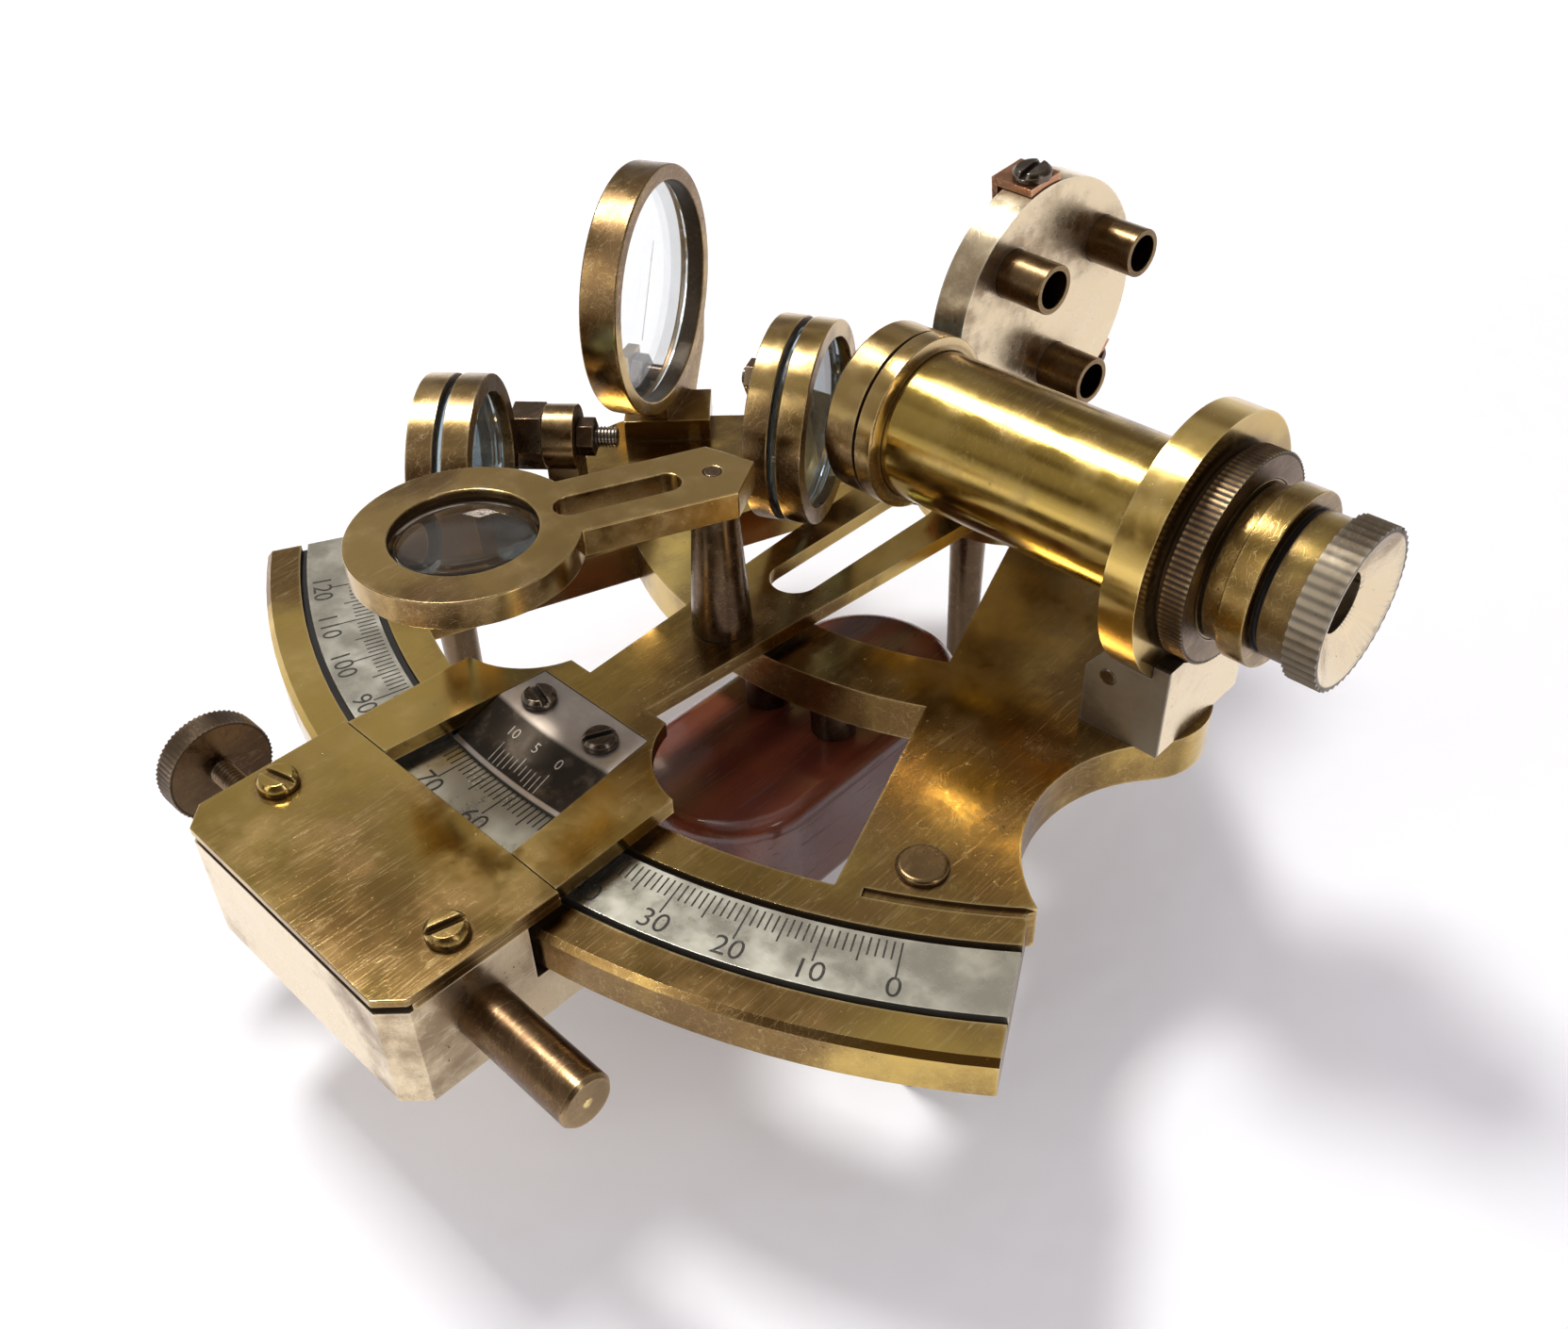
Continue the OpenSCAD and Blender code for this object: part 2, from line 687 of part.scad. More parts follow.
// Upright with an eye for the bolt, standing on the frame below the hinge
module hinge_bracket(height) {
    difference() {
        union() {
            translate([0, 0, eye_z]) cylinder(h = eye_t, r = eye_r);
            translate([-2.4, -height, eye_z]) cube([4.8, height, eye_t]);
            translate([-3.3, -height, eye_z - 1]) cube([6.6, 2.6, eye_t + 2]);
        }
        cylinder(h = 40, r = bolt_r + seat_clear);
        translate([0, -height - 1, eye_z + eye_t / 2]) rotate([-90, 0, 0])
            cylinder(h = 3.5, r = bracket_screw_r + seat_clear);
    }
}
module shade_bolts() {
    color(steel) {
        index_hinge_frame() mirror([0, 0, 1]) hinge_bolt(index_bolt_tail);
        horizon_hinge_frame() hinge_bolt(horizon_bolt_tail);
    }
}
module shade_nuts() {
    color(bronze) {
        index_hinge_frame() mirror([0, 0, 1]) hinge_nuts();
        horizon_hinge_frame() hinge_nuts();
    }
}
module index_shade_bracket() {
    color(dark_brass) index_hinge_frame() mirror([0, 0, 1]) hinge_bracket(index_hinge[2]);
}
module horizon_shade_bracket() {
    color(dark_brass) horizon_hinge_frame() hinge_bracket(horizon_hinge[2]);
}

// Telescope, drawn from its left face with the axis along +X

module along_scope() {
    at_pivot() translate([0, -scope_y, scope_z]) rotate([0, 90, 0]) children();
}
module scope_bracket() {
    color(dark_brass) at_pivot() difference() {
        translate([block_x, -block_y, 0]) rotate([90, 0, 0]) mirror([0, 0, 1])
            linear_extrude(block_len) polygon([[0, 0], [block_w, 0], [block_w, block_h],
                                               [2.6, block_h], [0, block_h - 3.6]]);
        translate([foot_x - 0.05, -block_y + block_skin - 0.05, foot_z])
            cube([collar_x + collar_t - foot_x + 0.1, block_len, block_h]);
        translate([0, -scope_y, scope_z]) rotate([0, 90, 0])
            translate([0, 0, collar_x - 0.05]) cylinder(h = collar_t + 0.1, r = collar_r + 0.1);
        translate([0, -scope_y, scope_z]) rotate([0, 90, 0])
            translate([0, 0, collar_x + collar_t]) cylinder(h = 10, r = lock_r + 0.4);
        translate([pin_x, -block_y + 6, pin_z]) rotate([90, 0, 0]) cylinder(h = 10, r = pin_r + seat_clear);
        for (i = [4, 5]) translate([bracket_spots[i][0], bracket_spots[i][1], -1])
            cylinder(h = foot_z + 1 - 0.4, r = bracket_screw_r + seat_clear);
    }
}
module bracket_pin() {
    color(steel) at_pivot() translate([pin_x, -block_y + pin_len - 0.1, pin_z]) rotate([90, 0, 0])
        cylinder(h = pin_len, r = pin_r);
}
module scope_collar() {
    color(brass) at_pivot() difference() {
        union() {
            translate([0, -scope_y, scope_z]) rotate([0, 90, 0]) translate([0, 0, collar_x])
                cylinder(h = collar_t, r = collar_r);
            translate([foot_x, -block_y + block_skin, foot_z + 0.05])
                cube([collar_x + collar_t - foot_x, foot_len, block_h - 0.6 - foot_z]);
        }
        translate([0, -scope_y, scope_z]) rotate([0, 90, 0]) translate([0, 0, collar_x - 5])
            cylinder(h = collar_t + 6, r = tube_r + seat_clear);
        translate([pin_x, -block_y + 6, pin_z]) rotate([90, 0, 0]) cylinder(h = 10, r = pin_r + seat_clear);
    }
}
module scope_tube() {
    color(brass) along_scope() difference() {
        translate([0, 0, tube_x0]) cylinder(h = tube_x1 - tube_x0, r = tube_r);
        cylinder(h = 80, r = tube_r - tube_wall);
    }
}
module objective_ring() {
    color(dark_brass) along_scope() translate([0, 0, scope_x0]) difference() {
        union() {
            cylinder(h = 0.4, r1 = objective_r - 0.4, r2 = objective_r);
            translate([0, 0, 0.4]) cylinder(h = 3.6, r = objective_r);
            cylinder(h = objective_len - 0.3, r = objective_r - 0.5);
            translate([0, 0, 4.4]) cylinder(h = objective_len - 4.8, r = objective_r + 0.1);
            translate([0, 0, objective_len - 0.4]) cylinder(h = 0.4, r1 = objective_r, r2 = tube_r + 0.6);
        }
        translate([0, 0, -1]) cylinder(h = 20, r = tube_r - 1.1);
        translate([0, 0, 1]) cylinder(h = 20, r = tube_r + seat_clear);
    }
}
module objective_lens() {
    color(clear_glass) along_scope() translate([0, 0, scope_x0 + 1.05]) cylinder(h = lens_t, r = tube_r);
}
module lock_ring() {
    color(bronze) along_scope() translate([0, 0, collar_x + collar_t + 0.05]) difference() {
        union() {
            cylinder(h = 0.7, r = lock_r - 0.8);
            translate([0, 0, 0.7]) knurled(lock_r, lock_t - 0.75, 110, 0.22);
        }
        translate([0, 0, -1]) cylinder(h = lock_t + 2, r = tube_r + seat_clear);
    }
}
module eyepiece_barrel() {
    inner_r = tube_r - tube_wall - run_clear;
    color(brass) along_scope() difference() {
        union() {
            translate([0, 0, eye_x0 - draw_len]) cylinder(h = draw_len, r = inner_r);
            translate([0, 0, eye_x0]) cylinder(h = 2, r = inner_r + 0.6);
            translate([0, 0, eye_x0 + 2]) cylinder(h = 2.6, r = flange_r);
            translate([0, 0, eye_x0 + 4.6]) cylinder(h = 0.5, r = inner_r - 0.5);
            translate([0, 0, eye_x0 + 5.1]) cylinder(h = cap_x - eye_x0 - 5.1, r = inner_r);
        }
        translate([0, 0, 10]) cylinder(h = 60, r = inner_r - 1.6);
        translate([0, 0, cap_x - lens_t - 0.1]) cylinder(h = 5, r = inner_r - 1);
    }
}
module eyepiece_cap() {
    color(dark_brass) along_scope() translate([0, 0, cap_x]) difference() {
        knurled(cap_r, cap_t, 46, 0.3);
        translate([0, 0, -1]) cylinder(h = cap_t + 2, r = sight_r);
        translate([0, 0, cap_t - 1.8]) cylinder(h = 1.8 + eps, r1 = sight_r, r2 = cap_r - 0.7);
    }
}
module eye_lens() {
    color(clear_glass) along_scope() translate([0, 0, cap_x - lens_t - 0.05])
        cylinder(h = lens_t, r = tube_r - tube_wall - run_clear - 1 - seat_clear);
}

// Index arm and pivot

module arm_plan() {
    neck_out = vernier_in - 2.2;
    taper = (8.6 - arm_neck_w) / 65;
    bite_c = [arm_foot_w + 0.2, -vernier_in + 5.7];
    bite_r = 9.6;
    foot_y = 3 - vernier_in;
    circle(r = arm_hub_r);
    neck_w = 8.6 - taper * neck_out;
    polygon([[8.6, 0], [neck_w, -neck_out], [-neck_w, -neck_out], [-8.6, 0]]);
    difference() {
        polygon([[-arm_foot_w + 0.9, foot_y], [arm_foot_w - 0.9, foot_y], [arm_foot_w, -arm_seam],
                 [-arm_foot_w, -arm_seam]]);
        for (m = [0, 1]) mirror([m, 0]) translate(bite_c) circle(r = bite_r);
    }
}
module vernier_window(out0, out1, gap) {
    w0 = vernier_w + gap + (out0 - vernier_in) * 0.108;
    w1 = vernier_w + gap + (out1 - vernier_in) * 0.108;
    polygon([[-w0, -out0], [w0, -out0], [w1, -out1], [-w1, -out1]]);
}
module tongue_plan() {
    translate([-box_w, -(box_out - 2.6)]) square([2 * box_w, box_out - 2.6 - arm_seam + eps]);
}
module index_arm() {
    slot_len = arm_slot_out - arm_slot_in;
    color(brass) on_arm() translate([0, 0, arm_z]) difference() {
        union() {
            linear_extrude(arm_t) arm_plan();
            linear_extrude(arm_t - cover_t) tongue_plan();
        }
        for (o = [arm_slot_in, arm_slot_out])
            translate([0, -o, -1]) cylinder(h = arm_t + 2, r = arm_slot_w);
        translate([-arm_slot_w, -arm_slot_out, -1]) cube([2 * arm_slot_w, slot_len, arm_t + 2]);
        translate([0, 0, arm_t - vernier_t]) linear_extrude(arm_t)
            vernier_window(vernier_in - 0.1, arm_seam, 0.1);
        translate([0, 0, -1]) linear_extrude(arm_t + 2) vernier_window(ledge_out, arm_seam, 0.1);
        for (s = [-1, 1]) translate([s * vernier_screw_x, -vernier_screw_out, -1])
            cylinder(h = arm_t + 2, r = vernier_screw_r + seat_clear);
        for (s = [-1, 1]) translate([s * cover_screw_x, -cover_screw_out, -1])
            cylinder(h = arm_t + 2, r = cover_screw_r + seat_clear);
        translate([0, -post_out, -1]) cylinder(h = arm_t + 2, r = spigot_r + seat_clear);
        translate([0, 0, -1]) cylinder(h = arm_t + 2, r = pivot_r + seat_clear);
        translate([0, 0, arm_t - pin_head_h]) cylinder(h = arm_t, r = pin_head_r + seat_clear);
        for (s = [-1, 1]) translate([foot_screw_x, s * foot_screw_y, -1])
            cylinder(h = arm_t + 2, r = vernier_screw_r + seat_clear);
    }
}
module pivot_pin() {
    color(steel) on_arm() {
        translate([0, 0, arm_top - pin_head_h]) cylinder(h = pin_head_h - 0.02, r = pin_head_r);
        translate([0, 0, -limb_t - nut_len]) cylinder(h = arm_top + limb_t + nut_len - 0.1, r = pivot_r);
    }
}
module pivot_nut() {
    color(bronze) on_arm() translate([0, 0, -limb_t - nut_len + 0.4]) difference() {
        cylinder(h = nut_len - 0.4 - face_clear, r = 4.6, $fn = 6);
        translate([0, 0, -1]) cylinder(h = nut_len + 2, r = pivot_r + seat_clear);
    }
}
module pivot_washer() {
    color(dark_brass) at_pivot() difference() {
        cylinder(h = arm_z - 0.05, r = 5.2);
        translate([0, 0, -1]) cylinder(h = arm_z + 2, r = pivot_r + run_clear);
    }
}

// Vernier

module vernier_plate() {
    z1 = arm_top;
    z0 = arm_top - vernier_t + 0.02;
    color(silver) on_arm() difference() {
        intersection() {
            rotate([0, 0, -90 - 9]) rotate_extrude(angle = 18, $fn = 180)
                polygon([[vernier_in - 6, z0], [ledge_out + 0.7, z0], [scale_r - 1.2, vernier_lift],
                         [scale_r, vernier_lift], [scale_r, vernier_lift + 0.25],
                         [ledge_out - 0.6, z1], [vernier_in - 6, z1]]);
            translate([0, 0, -1]) linear_extrude(10) vernier_window(vernier_in, arm_seam, 0);
        }
        for (s = [-1, 1]) translate([s * vernier_screw_x, -vernier_screw_out, 0])
            cylinder(h = 10, r = vernier_screw_r + seat_clear);
    }
}
module vernier_screws() {
    color(steel) on_arm() for (s = [-1, 1]) translate([s * vernier_screw_x, -vernier_screw_out, arm_top])
        rotate([0, 0, 25 + 40 * s]) screw(1.8, 1.1, vernier_screw_r, arm_t);
}

// Clamp box with its cover, sliding clamp and tangent screw

module cover_plan() {
    w = box_w;
    c = box_corner;
    polygon([[-w, -arm_seam - 0.05], [w, -arm_seam - 0.05], [w, c - box_out], [w - c, -box_out],
             [c - w, -box_out], [-w, c - box_out]]);
}
module cover_plate() {
    color(brass) on_arm() difference() {
        translate([0, 0, arm_top - cover_t]) linear_extrude(cover_t) cover_plan();
        for (s = [-1, 1]) translate([s * cover_screw_x, -cover_screw_out, 0])
            cylinder(h = 10, r = cover_screw_r + seat_clear);
    }
}
module cover_screws() {
    color(brass) on_arm() for (s = [-1, 1]) translate([s * cover_screw_x, -cover_screw_out, arm_top])
        rotate([0, 0, s < 0 ? 15 : 75]) screw(2, 1.3, cover_screw_r, arm_t + 2.2, 0.9);
}
module box_plan() {
    w = box_w;
    c = box_corner;
    polygon([[-w, -lip_in], [w, -lip_in], [w, c - box_out], [w - c, -box_out], [c - w, -box_out],
             [-w, c - box_out]]);
}
module clamp_box() {
    window_w = clamp_w + clamp_travel + 0.4;
    screw_gap = clamp_screw_r + 0.3;
    color(brass) on_arm() difference() {
        translate([0, 0, -box_drop]) linear_extrude(box_drop + arm_z) box_plan();
        translate([0, 0, -limb_t - limb_clear]) cylinder(h = 20, r = wall_in, $fn = 180);
        difference() {
            translate([-cavity_w, -cavity_out, floor_z])
                cube([2 * cavity_w, cavity_out - cavity_in, 20]);
            for (s = [-1, 1]) translate([s * box_w - 5, -cover_screw_out - 2.5, -2.6]) cube([10, 5, 10]);
        }
        translate([-window_w, -cavity_in - 1, jaw_floor])
            cube([2 * window_w, cavity_in + 1 - jaw_in + 0.6, 20]);
        translate([-clamp_travel, -clamp_screw_out - screw_gap, -box_drop - 1])
            cube([2 * clamp_travel, 2 * screw_gap, box_drop]);
        for (s = [-1, 1]) translate([s * clamp_travel, -clamp_screw_out, -box_drop - 1])
            cylinder(h = box_drop, r = screw_gap);
        translate([-box_w - 1, -screw_out, -screw_drop]) rotate([0, 90, 0])
            cylinder(h = box_wall + 2, r = screw_r + run_clear);
        translate([box_w - box_wall - 1, -screw_out, -screw_drop]) rotate([0, 90, 0])
            cylinder(h = box_wall + 2, r = neck_r + seat_clear);
        for (s = [-1, 1]) translate([s * cover_screw_x, -cover_screw_out, -1.6])
            cylinder(h = 10, r = cover_screw_r + seat_clear);
    }
}
module spring_barrel() {
    color(bronze) on_arm() translate([box_w - box_wall, -screw_out, -screw_drop]) rotate([0, 90, 0])
        difference() {
            union() {
                cylinder(h = box_wall + 0.1, r = neck_r);
                translate([0, 0, box_wall + 0.02]) cylinder(h = barrel_len - 0.4, r = barrel_r);
                translate([0, 0, box_wall + barrel_len - 0.4])
                    cylinder(h = 0.4, r1 = barrel_r, r2 = barrel_r - 0.3);
            }
            translate([0, 0, -1]) cylinder(h = box_wall + barrel_len, r = barrel_bore_r);
        }
}
module clamp_spring() {
    z0 = plunger_head + plunger_head_t + clamp_travel + 0.2;
    z1 = box_w + barrel_len - 1.05;
    color(steel) on_arm() translate([z0, -screw_out, -screw_drop]) rotate([0, 90, 0]) difference() {
        cylinder(h = z1 - z0, r = barrel_bore_r - run_clear);
        translate([0, 0, -1]) cylinder(h = z1 - z0 + 2, r = plunger_rod_r + 0.15);
    }
}
module spring_plunger() {
    color(steel) on_arm() translate([0, -screw_out, -screw_drop]) rotate([0, 90, 0]) {
        translate([0, 0, clamp_w - plunger_seat])
            cylinder(h = plunger_head + plunger_head_t + 5 - clamp_w, r = plunger_rod_r);
        translate([0, 0, plunger_head]) cylinder(h = plunger_head_t, r = barrel_bore_r - run_clear);
    }
}
module limb_clamp() {
    block_in = wall_in + 0.1;
    main_in = cavity_in + face_clear;
    color(dark_brass) on_arm() difference() {
        union() {
            translate([-clamp_w, -cavity_out + face_clear, floor_z + face_clear])
                cube([2 * clamp_w, cavity_out - face_clear - main_in,
                      arm_z - 2 * face_clear - floor_z]);
            translate([-clamp_w, -main_in - eps, jaw_floor + face_clear])
                cube([2 * clamp_w, main_in - block_in + 2 * eps, arm_z - 2 * face_clear - jaw_floor]);
            translate([-clamp_w, -block_in - eps, jaw_floor + face_clear])
                cube([2 * clamp_w, block_in - jaw_in, jaw_top - jaw_floor - face_clear]);
            translate([-clamp_w, -block_in - eps, face_clear])
                cube([2 * clamp_w, block_in - jaw_in - 1.5, arm_z - 2 * face_clear]);
        }
        translate([clamp_w - plunger_seat - 0.05, -screw_out, -screw_drop]) rotate([0, 90, 0])
            cylinder(h = plunger_seat + 1, r = plunger_rod_r + seat_clear);
        translate([-clamp_w - 1, -screw_out, -screw_drop]) rotate([0, 90, 0])
            cylinder(h = tip_depth + 1, r = screw_r + run_clear);
        translate([0, -clamp_screw_out, -box_drop])
            cylinder(h = box_drop + jaw_top + 1, r = clamp_screw_r + run_clear);
    }
}
module clamp_screw() {
    color(bronze) on_arm() translate([0, -clamp_screw_out, 0]) {
        translate([0, 0, -box_drop - face_clear - 2.4]) knurled(3.6, 2.4, 36, 0.2);
        translate([0, 0, -box_drop - face_clear - eps])
            cylinder(h = box_drop + face_clear - limb_t - 0.1, r = clamp_screw_r);
    }
}
module tangent_screw() {
    tip = -clamp_w + tip_depth - 0.05;
    tail = -box_w - knob_gap - knob_t;
    color(bronze) on_arm() translate([tail, -screw_out, -screw_drop]) rotate([0, 90, 0])
        cylinder(h = tip - tail, r = screw_r);
}
module tangent_knob() {
    color(bronze) on_arm() translate([-box_w - knob_gap - knob_t + 0.3, -screw_out, -screw_drop])
        rotate([0, 90, 0]) difference() {
            knurled(knob_r, knob_t - 0.3, 64, 0.2);
            translate([0, 0, -1]) cylinder(h = knob_t + 2, r = screw_r + seat_clear);
        }
}

// Index mirror

module on_disc() {
    on_arm() translate([disc_x, disc_y, disc_z]) facing(disc_turn) children();
}
module mirror_foot() {
    color(brass) on_arm() difference() {
        union() {
            translate([-7, -9.2, arm_top]) cube([14, 18.4, foot_plate_t]);
            translate([disc_x, disc_y, arm_top]) rotate([0, 0, disc_turn]) translate([-disc_back, -7.5, 0])
                cube([disc_t, 15, disc_z - disc_r - arm_top + 2.4]);
        }
        translate([disc_x, disc_y, disc_z]) facing(disc_turn) translate([0, 0, -20])
            cylinder(h = 40, r = disc_r + seat_clear);
        for (s = [-1, 1]) translate([foot_screw_x, s * foot_screw_y, 0])
            cylinder(h = 20, r = vernier_screw_r + seat_clear);
    }
}
module mirror_disc() {
    color(brass) on_disc() difference() {
        translate([0, 0, -disc_back]) cylinder(h = disc_t, r = disc_r);
        translate([0, 0, -disc_back - 1]) cylinder(h = 1 + glass_t / 2, r = disc_r - 1.6);
        for (a = clip_angles) rotate([0, 0, a]) translate([disc_r + 1, 0, clip_screw_z])
            rotate([0, -90, 0]) cylinder(h = 4.2, r = clip_screw_r + seat_clear);
        for (p = stub_spots) translate([p[0], p[1], disc_t - disc_back - 1])
            cylinder(h = 3, r = stub_r + seat_clear);
    }
}
module index_mirror() {
    color(clear_glass) on_disc() translate([0, 0, -disc_back - glass_t / 2])
        cylinder(h = glass_t - 0.02, r = disc_r - 1.6 - seat_clear);
}
module mirror_clips() {
    hook_z = -disc_back - glass_t / 2 - clip_t - 0.02;
    color(copper) on_disc() for (a = clip_angles) rotate([0, 0, a]) difference() {
        union() {
            translate([disc_r - 0.1, -clip_w / 2, hook_z])
                cube([clip_t + 0.1, clip_w, clip_screw_z + 1.9 - hook_z]);
            translate([disc_r - 3.6, -clip_w / 2, hook_z]) cube([3.6, clip_w, clip_t]);
        }
        translate([0, 0, -disc_back]) cylinder(h = disc_t + 5, r = disc_r + 0.02);
        translate([disc_r + 3, 0, clip_screw_z]) rotate([0, -90, 0])
            cylinder(h = 6, r = clip_screw_r + seat_clear);
    }
}
module mirror_screws() {
    color(steel) {
        on_disc() for (a = clip_angles) rotate([0, 0, a])
            translate([disc_r + clip_t + 0.02, 0, clip_screw_z]) rotate([0, 90, 0]) rotate([0, 0, a])
                screw(2.2, 1.2, clip_screw_r, 3.4, 0.8);
        on_arm() for (s = [-1, 1])
            translate([foot_screw_x, s * foot_screw_y, arm_top + foot_plate_t])
                rotate([0, 0, 40 * s]) screw(1.8, 1.1, vernier_screw_r, foot_plate_t + arm_t - 0.2);
    }
}
module mirror_tubes() {
    color(bronze) on_disc() for (p = stub_spots) translate([p[0], p[1], disc_t - disc_back - 0.98])
        difference() {
            cylinder(h = stub_len + 0.98, r = stub_r);
            translate([0, 0, 0.6]) cylinder(h = stub_len + 1, r = stub_r - 0.7);
        }
}

// Magnifier

module magnifier_post() {
    color(bronze) on_arm() translate([0, -post_out, arm_top]) difference() {
        union() {
            cylinder(h = magnifier_z - arm_top - 0.05, r1 = post_base_r, r2 = post_top_r);
            translate([0, 0, -arm_t]) cylinder(h = arm_t + eps, r = spigot_r);
        }
        translate([0, 0, magnifier_z - arm_top - 5]) cylinder(h = 10, r = rivet_r + seat_clear);
    }
}
module on_magnifier() {
    on_arm() translate([0, -post_out, magnifier_z]) rotate([0, 0, magnifier_a]) children();
}
module magnifier_arm() {
    w = 4.7;
    color(dark_brass) on_magnifier() difference() {
        union() {
            translate([0, -magnifier_reach, 0]) cylinder(h = magnifier_t, r = magnifier_r);
            linear_extrude(magnifier_t)
                polygon([[-w, 1], [0, 4.5], [w, 1], [w, -magnifier_reach], [-w, -magnifier_reach]]);
        }
        translate([0, -magnifier_reach, -1]) cylinder(h = magnifier_t + 2, r = magnifier_hole_r);
        translate([0, -magnifier_reach, -1]) cylinder(h = magnifier_t, r = magnifier_hole_r + 0.5);
        for (y = [-4.9, -14.6]) translate([0, y, -1]) cylinder(h = magnifier_t + 2, r = 1.6);
        translate([-1.6, -14.6, -1]) cube([3.2, 9.7, magnifier_t + 2]);
        translate([0, 0, -1]) cylinder(h = magnifier_t + 2, r = rivet_r + run_clear);
    }
}
module magnifier_lens() {
    color(clear_glass) on_magnifier() translate([0, -magnifier_reach, 0.4])
        cylinder(h = magnifier_t - 1.42, r = magnifier_hole_r + 0.5 - seat_clear);
}
module magnifier_rivet() {
    color(bronze) on_arm() translate([0, -post_out, magnifier_z - 4.9])
        cylinder(h = 4.9 + magnifier_t - 0.02, r = rivet_r);
}

frame();
scale_strip();
legs();
leg_studs();
handle();
handle_pillars();
handle_screws();
bracket_screws();
horizon_frame();
horizon_glass();
horizon_bracket();
horizon_screw();
horizon_shade_bracket();
index_shade_bracket();
shade_bolts();
shade_nuts();
scope_bracket();
bracket_pin();
scope_collar();
scope_tube();
objective_ring();
objective_lens();
lock_ring();
eyepiece_barrel();
eyepiece_cap();
eye_lens();
index_arm();
pivot_pin();
pivot_nut();
pivot_washer();
vernier_plate();
vernier_screws();
cover_plate();
cover_screws();
clamp_box();
spring_barrel();
clamp_spring();
mirror_foot();
mirror_disc();
index_mirror();
mirror_clips();
mirror_screws();
mirror_tubes();
magnifier_post();
magnifier_arm();
magnifier_lens();
magnifier_rivet();
limb_clamp();
spring_plunger();
clamp_screw();
tangent_screw();
tangent_knob();
index_shade_1();
index_shade_glass_1();
index_shade_2();
index_shade_glass_2();
horizon_shade_1();
horizon_shade_glass_1();
horizon_shade_2();
horizon_shade_glass_2();
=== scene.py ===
import json
import math

import bpy
from mathutils import Matrix, Vector

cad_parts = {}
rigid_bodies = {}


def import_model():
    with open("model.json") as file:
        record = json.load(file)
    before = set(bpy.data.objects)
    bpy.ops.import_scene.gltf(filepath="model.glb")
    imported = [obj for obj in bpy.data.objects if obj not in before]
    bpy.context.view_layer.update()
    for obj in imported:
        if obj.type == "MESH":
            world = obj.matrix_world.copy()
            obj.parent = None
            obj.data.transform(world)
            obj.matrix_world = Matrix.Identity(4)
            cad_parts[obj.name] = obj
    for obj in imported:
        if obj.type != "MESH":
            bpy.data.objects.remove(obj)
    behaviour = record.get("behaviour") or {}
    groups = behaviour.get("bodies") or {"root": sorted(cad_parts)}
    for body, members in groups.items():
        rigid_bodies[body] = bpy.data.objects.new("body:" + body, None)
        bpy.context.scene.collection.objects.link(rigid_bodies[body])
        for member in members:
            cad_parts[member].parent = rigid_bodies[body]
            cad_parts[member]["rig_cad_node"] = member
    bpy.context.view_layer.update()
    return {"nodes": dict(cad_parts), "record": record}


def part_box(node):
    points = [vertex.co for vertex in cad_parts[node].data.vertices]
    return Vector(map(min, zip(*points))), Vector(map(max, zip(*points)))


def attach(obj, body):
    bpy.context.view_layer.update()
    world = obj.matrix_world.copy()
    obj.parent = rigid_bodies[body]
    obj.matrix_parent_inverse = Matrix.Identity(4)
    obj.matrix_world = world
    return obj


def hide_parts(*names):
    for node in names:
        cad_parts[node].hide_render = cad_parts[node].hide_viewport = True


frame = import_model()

# Metres, Z up, the sole of the rear leg at the origin. The plan sizes below are
# millimetres about the index pivot, -Y to the middle of the scale, +X to its zero end.
nodes = frame["nodes"]
bodyOf = {node: body for body, members in frame["record"]["behaviour"]["bodies"].items() for node in members}
mm = 0.001
closeBy = 0.001 * mm                 # points nearer than this are one
quarter = math.pi / 2
pivot = Vector((0, 8 * mm, 31 * mm))
armRest = math.radians(-0.96)
tangentLine = (96.2, -4.6)           # the tangent screw's axis on the arm: outward, up
tubeAxis = pivot + Vector((0, -26.9, 20)) * mm
horizonMirror = dict(centre=(-38.2, 24.6, 20), az=25)
scene = bpy.context.scene


# working helpers

def choose(*pieces):
    for item in bpy.context.selected_objects:
        item.select_set(False)
    for piece in pieces:
        piece.select_set(True)
    bpy.context.view_layer.objects.active = pieces[0]


def copyOf(piece):
    twin = piece.copy()
    twin.data = piece.data.copy()
    scene.collection.objects.link(twin)
    return twin


def applied(piece, kind, **settings):
    modifier = piece.modifiers.new(kind.title(), kind)
    for key, value in settings.items():
        setattr(modifier, key, value)
    choose(piece)
    bpy.ops.object.modifier_apply(modifier=modifier.name)


def settle(piece, place):
    piece.matrix_world = place
    choose(piece)
    bpy.ops.object.transform_apply(location=True, rotation=True, scale=True)


def merged(name, pieces):
    choose(*pieces)
    if len(pieces) > 1:
        bpy.ops.object.join()
    bpy.context.object.name = name
    return bpy.context.object


def editPart(piece, kind, wanted):
    choose(piece)
    bpy.ops.object.mode_set(mode="EDIT")
    bpy.ops.mesh.select_mode(type=kind)
    bpy.ops.mesh.select_all(action="DESELECT")
    bpy.ops.object.mode_set(mode="OBJECT")
    for member in piece.data.polygons if kind == "FACE" else piece.data.vertices:
        member.select = wanted(member)
    bpy.ops.object.mode_set(mode="EDIT")


def editWhole(piece):
    choose(piece)
    bpy.ops.object.mode_set(mode="EDIT")
    bpy.ops.mesh.select_all(action="SELECT")


def onFrame(side, out, up, turn=0.0):
    return Matrix.Translation(pivot + Vector((side, -out, up)) * mm) @ Matrix.Rotation(turn, 4, "Z")


def onArm(side, out, up, turn=0.0):
    spot = Matrix.Translation(Vector((side, -out, up)) * mm) @ Matrix.Rotation(turn, 4, "Z")
    return Matrix.Translation(pivot) @ Matrix.Rotation(armRest, 4, "Z") @ spot


def wear(piece, finish, body):
    piece.data.materials.clear()
    piece.data.materials.append(finish)
    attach(piece, body)
    return piece


# camera

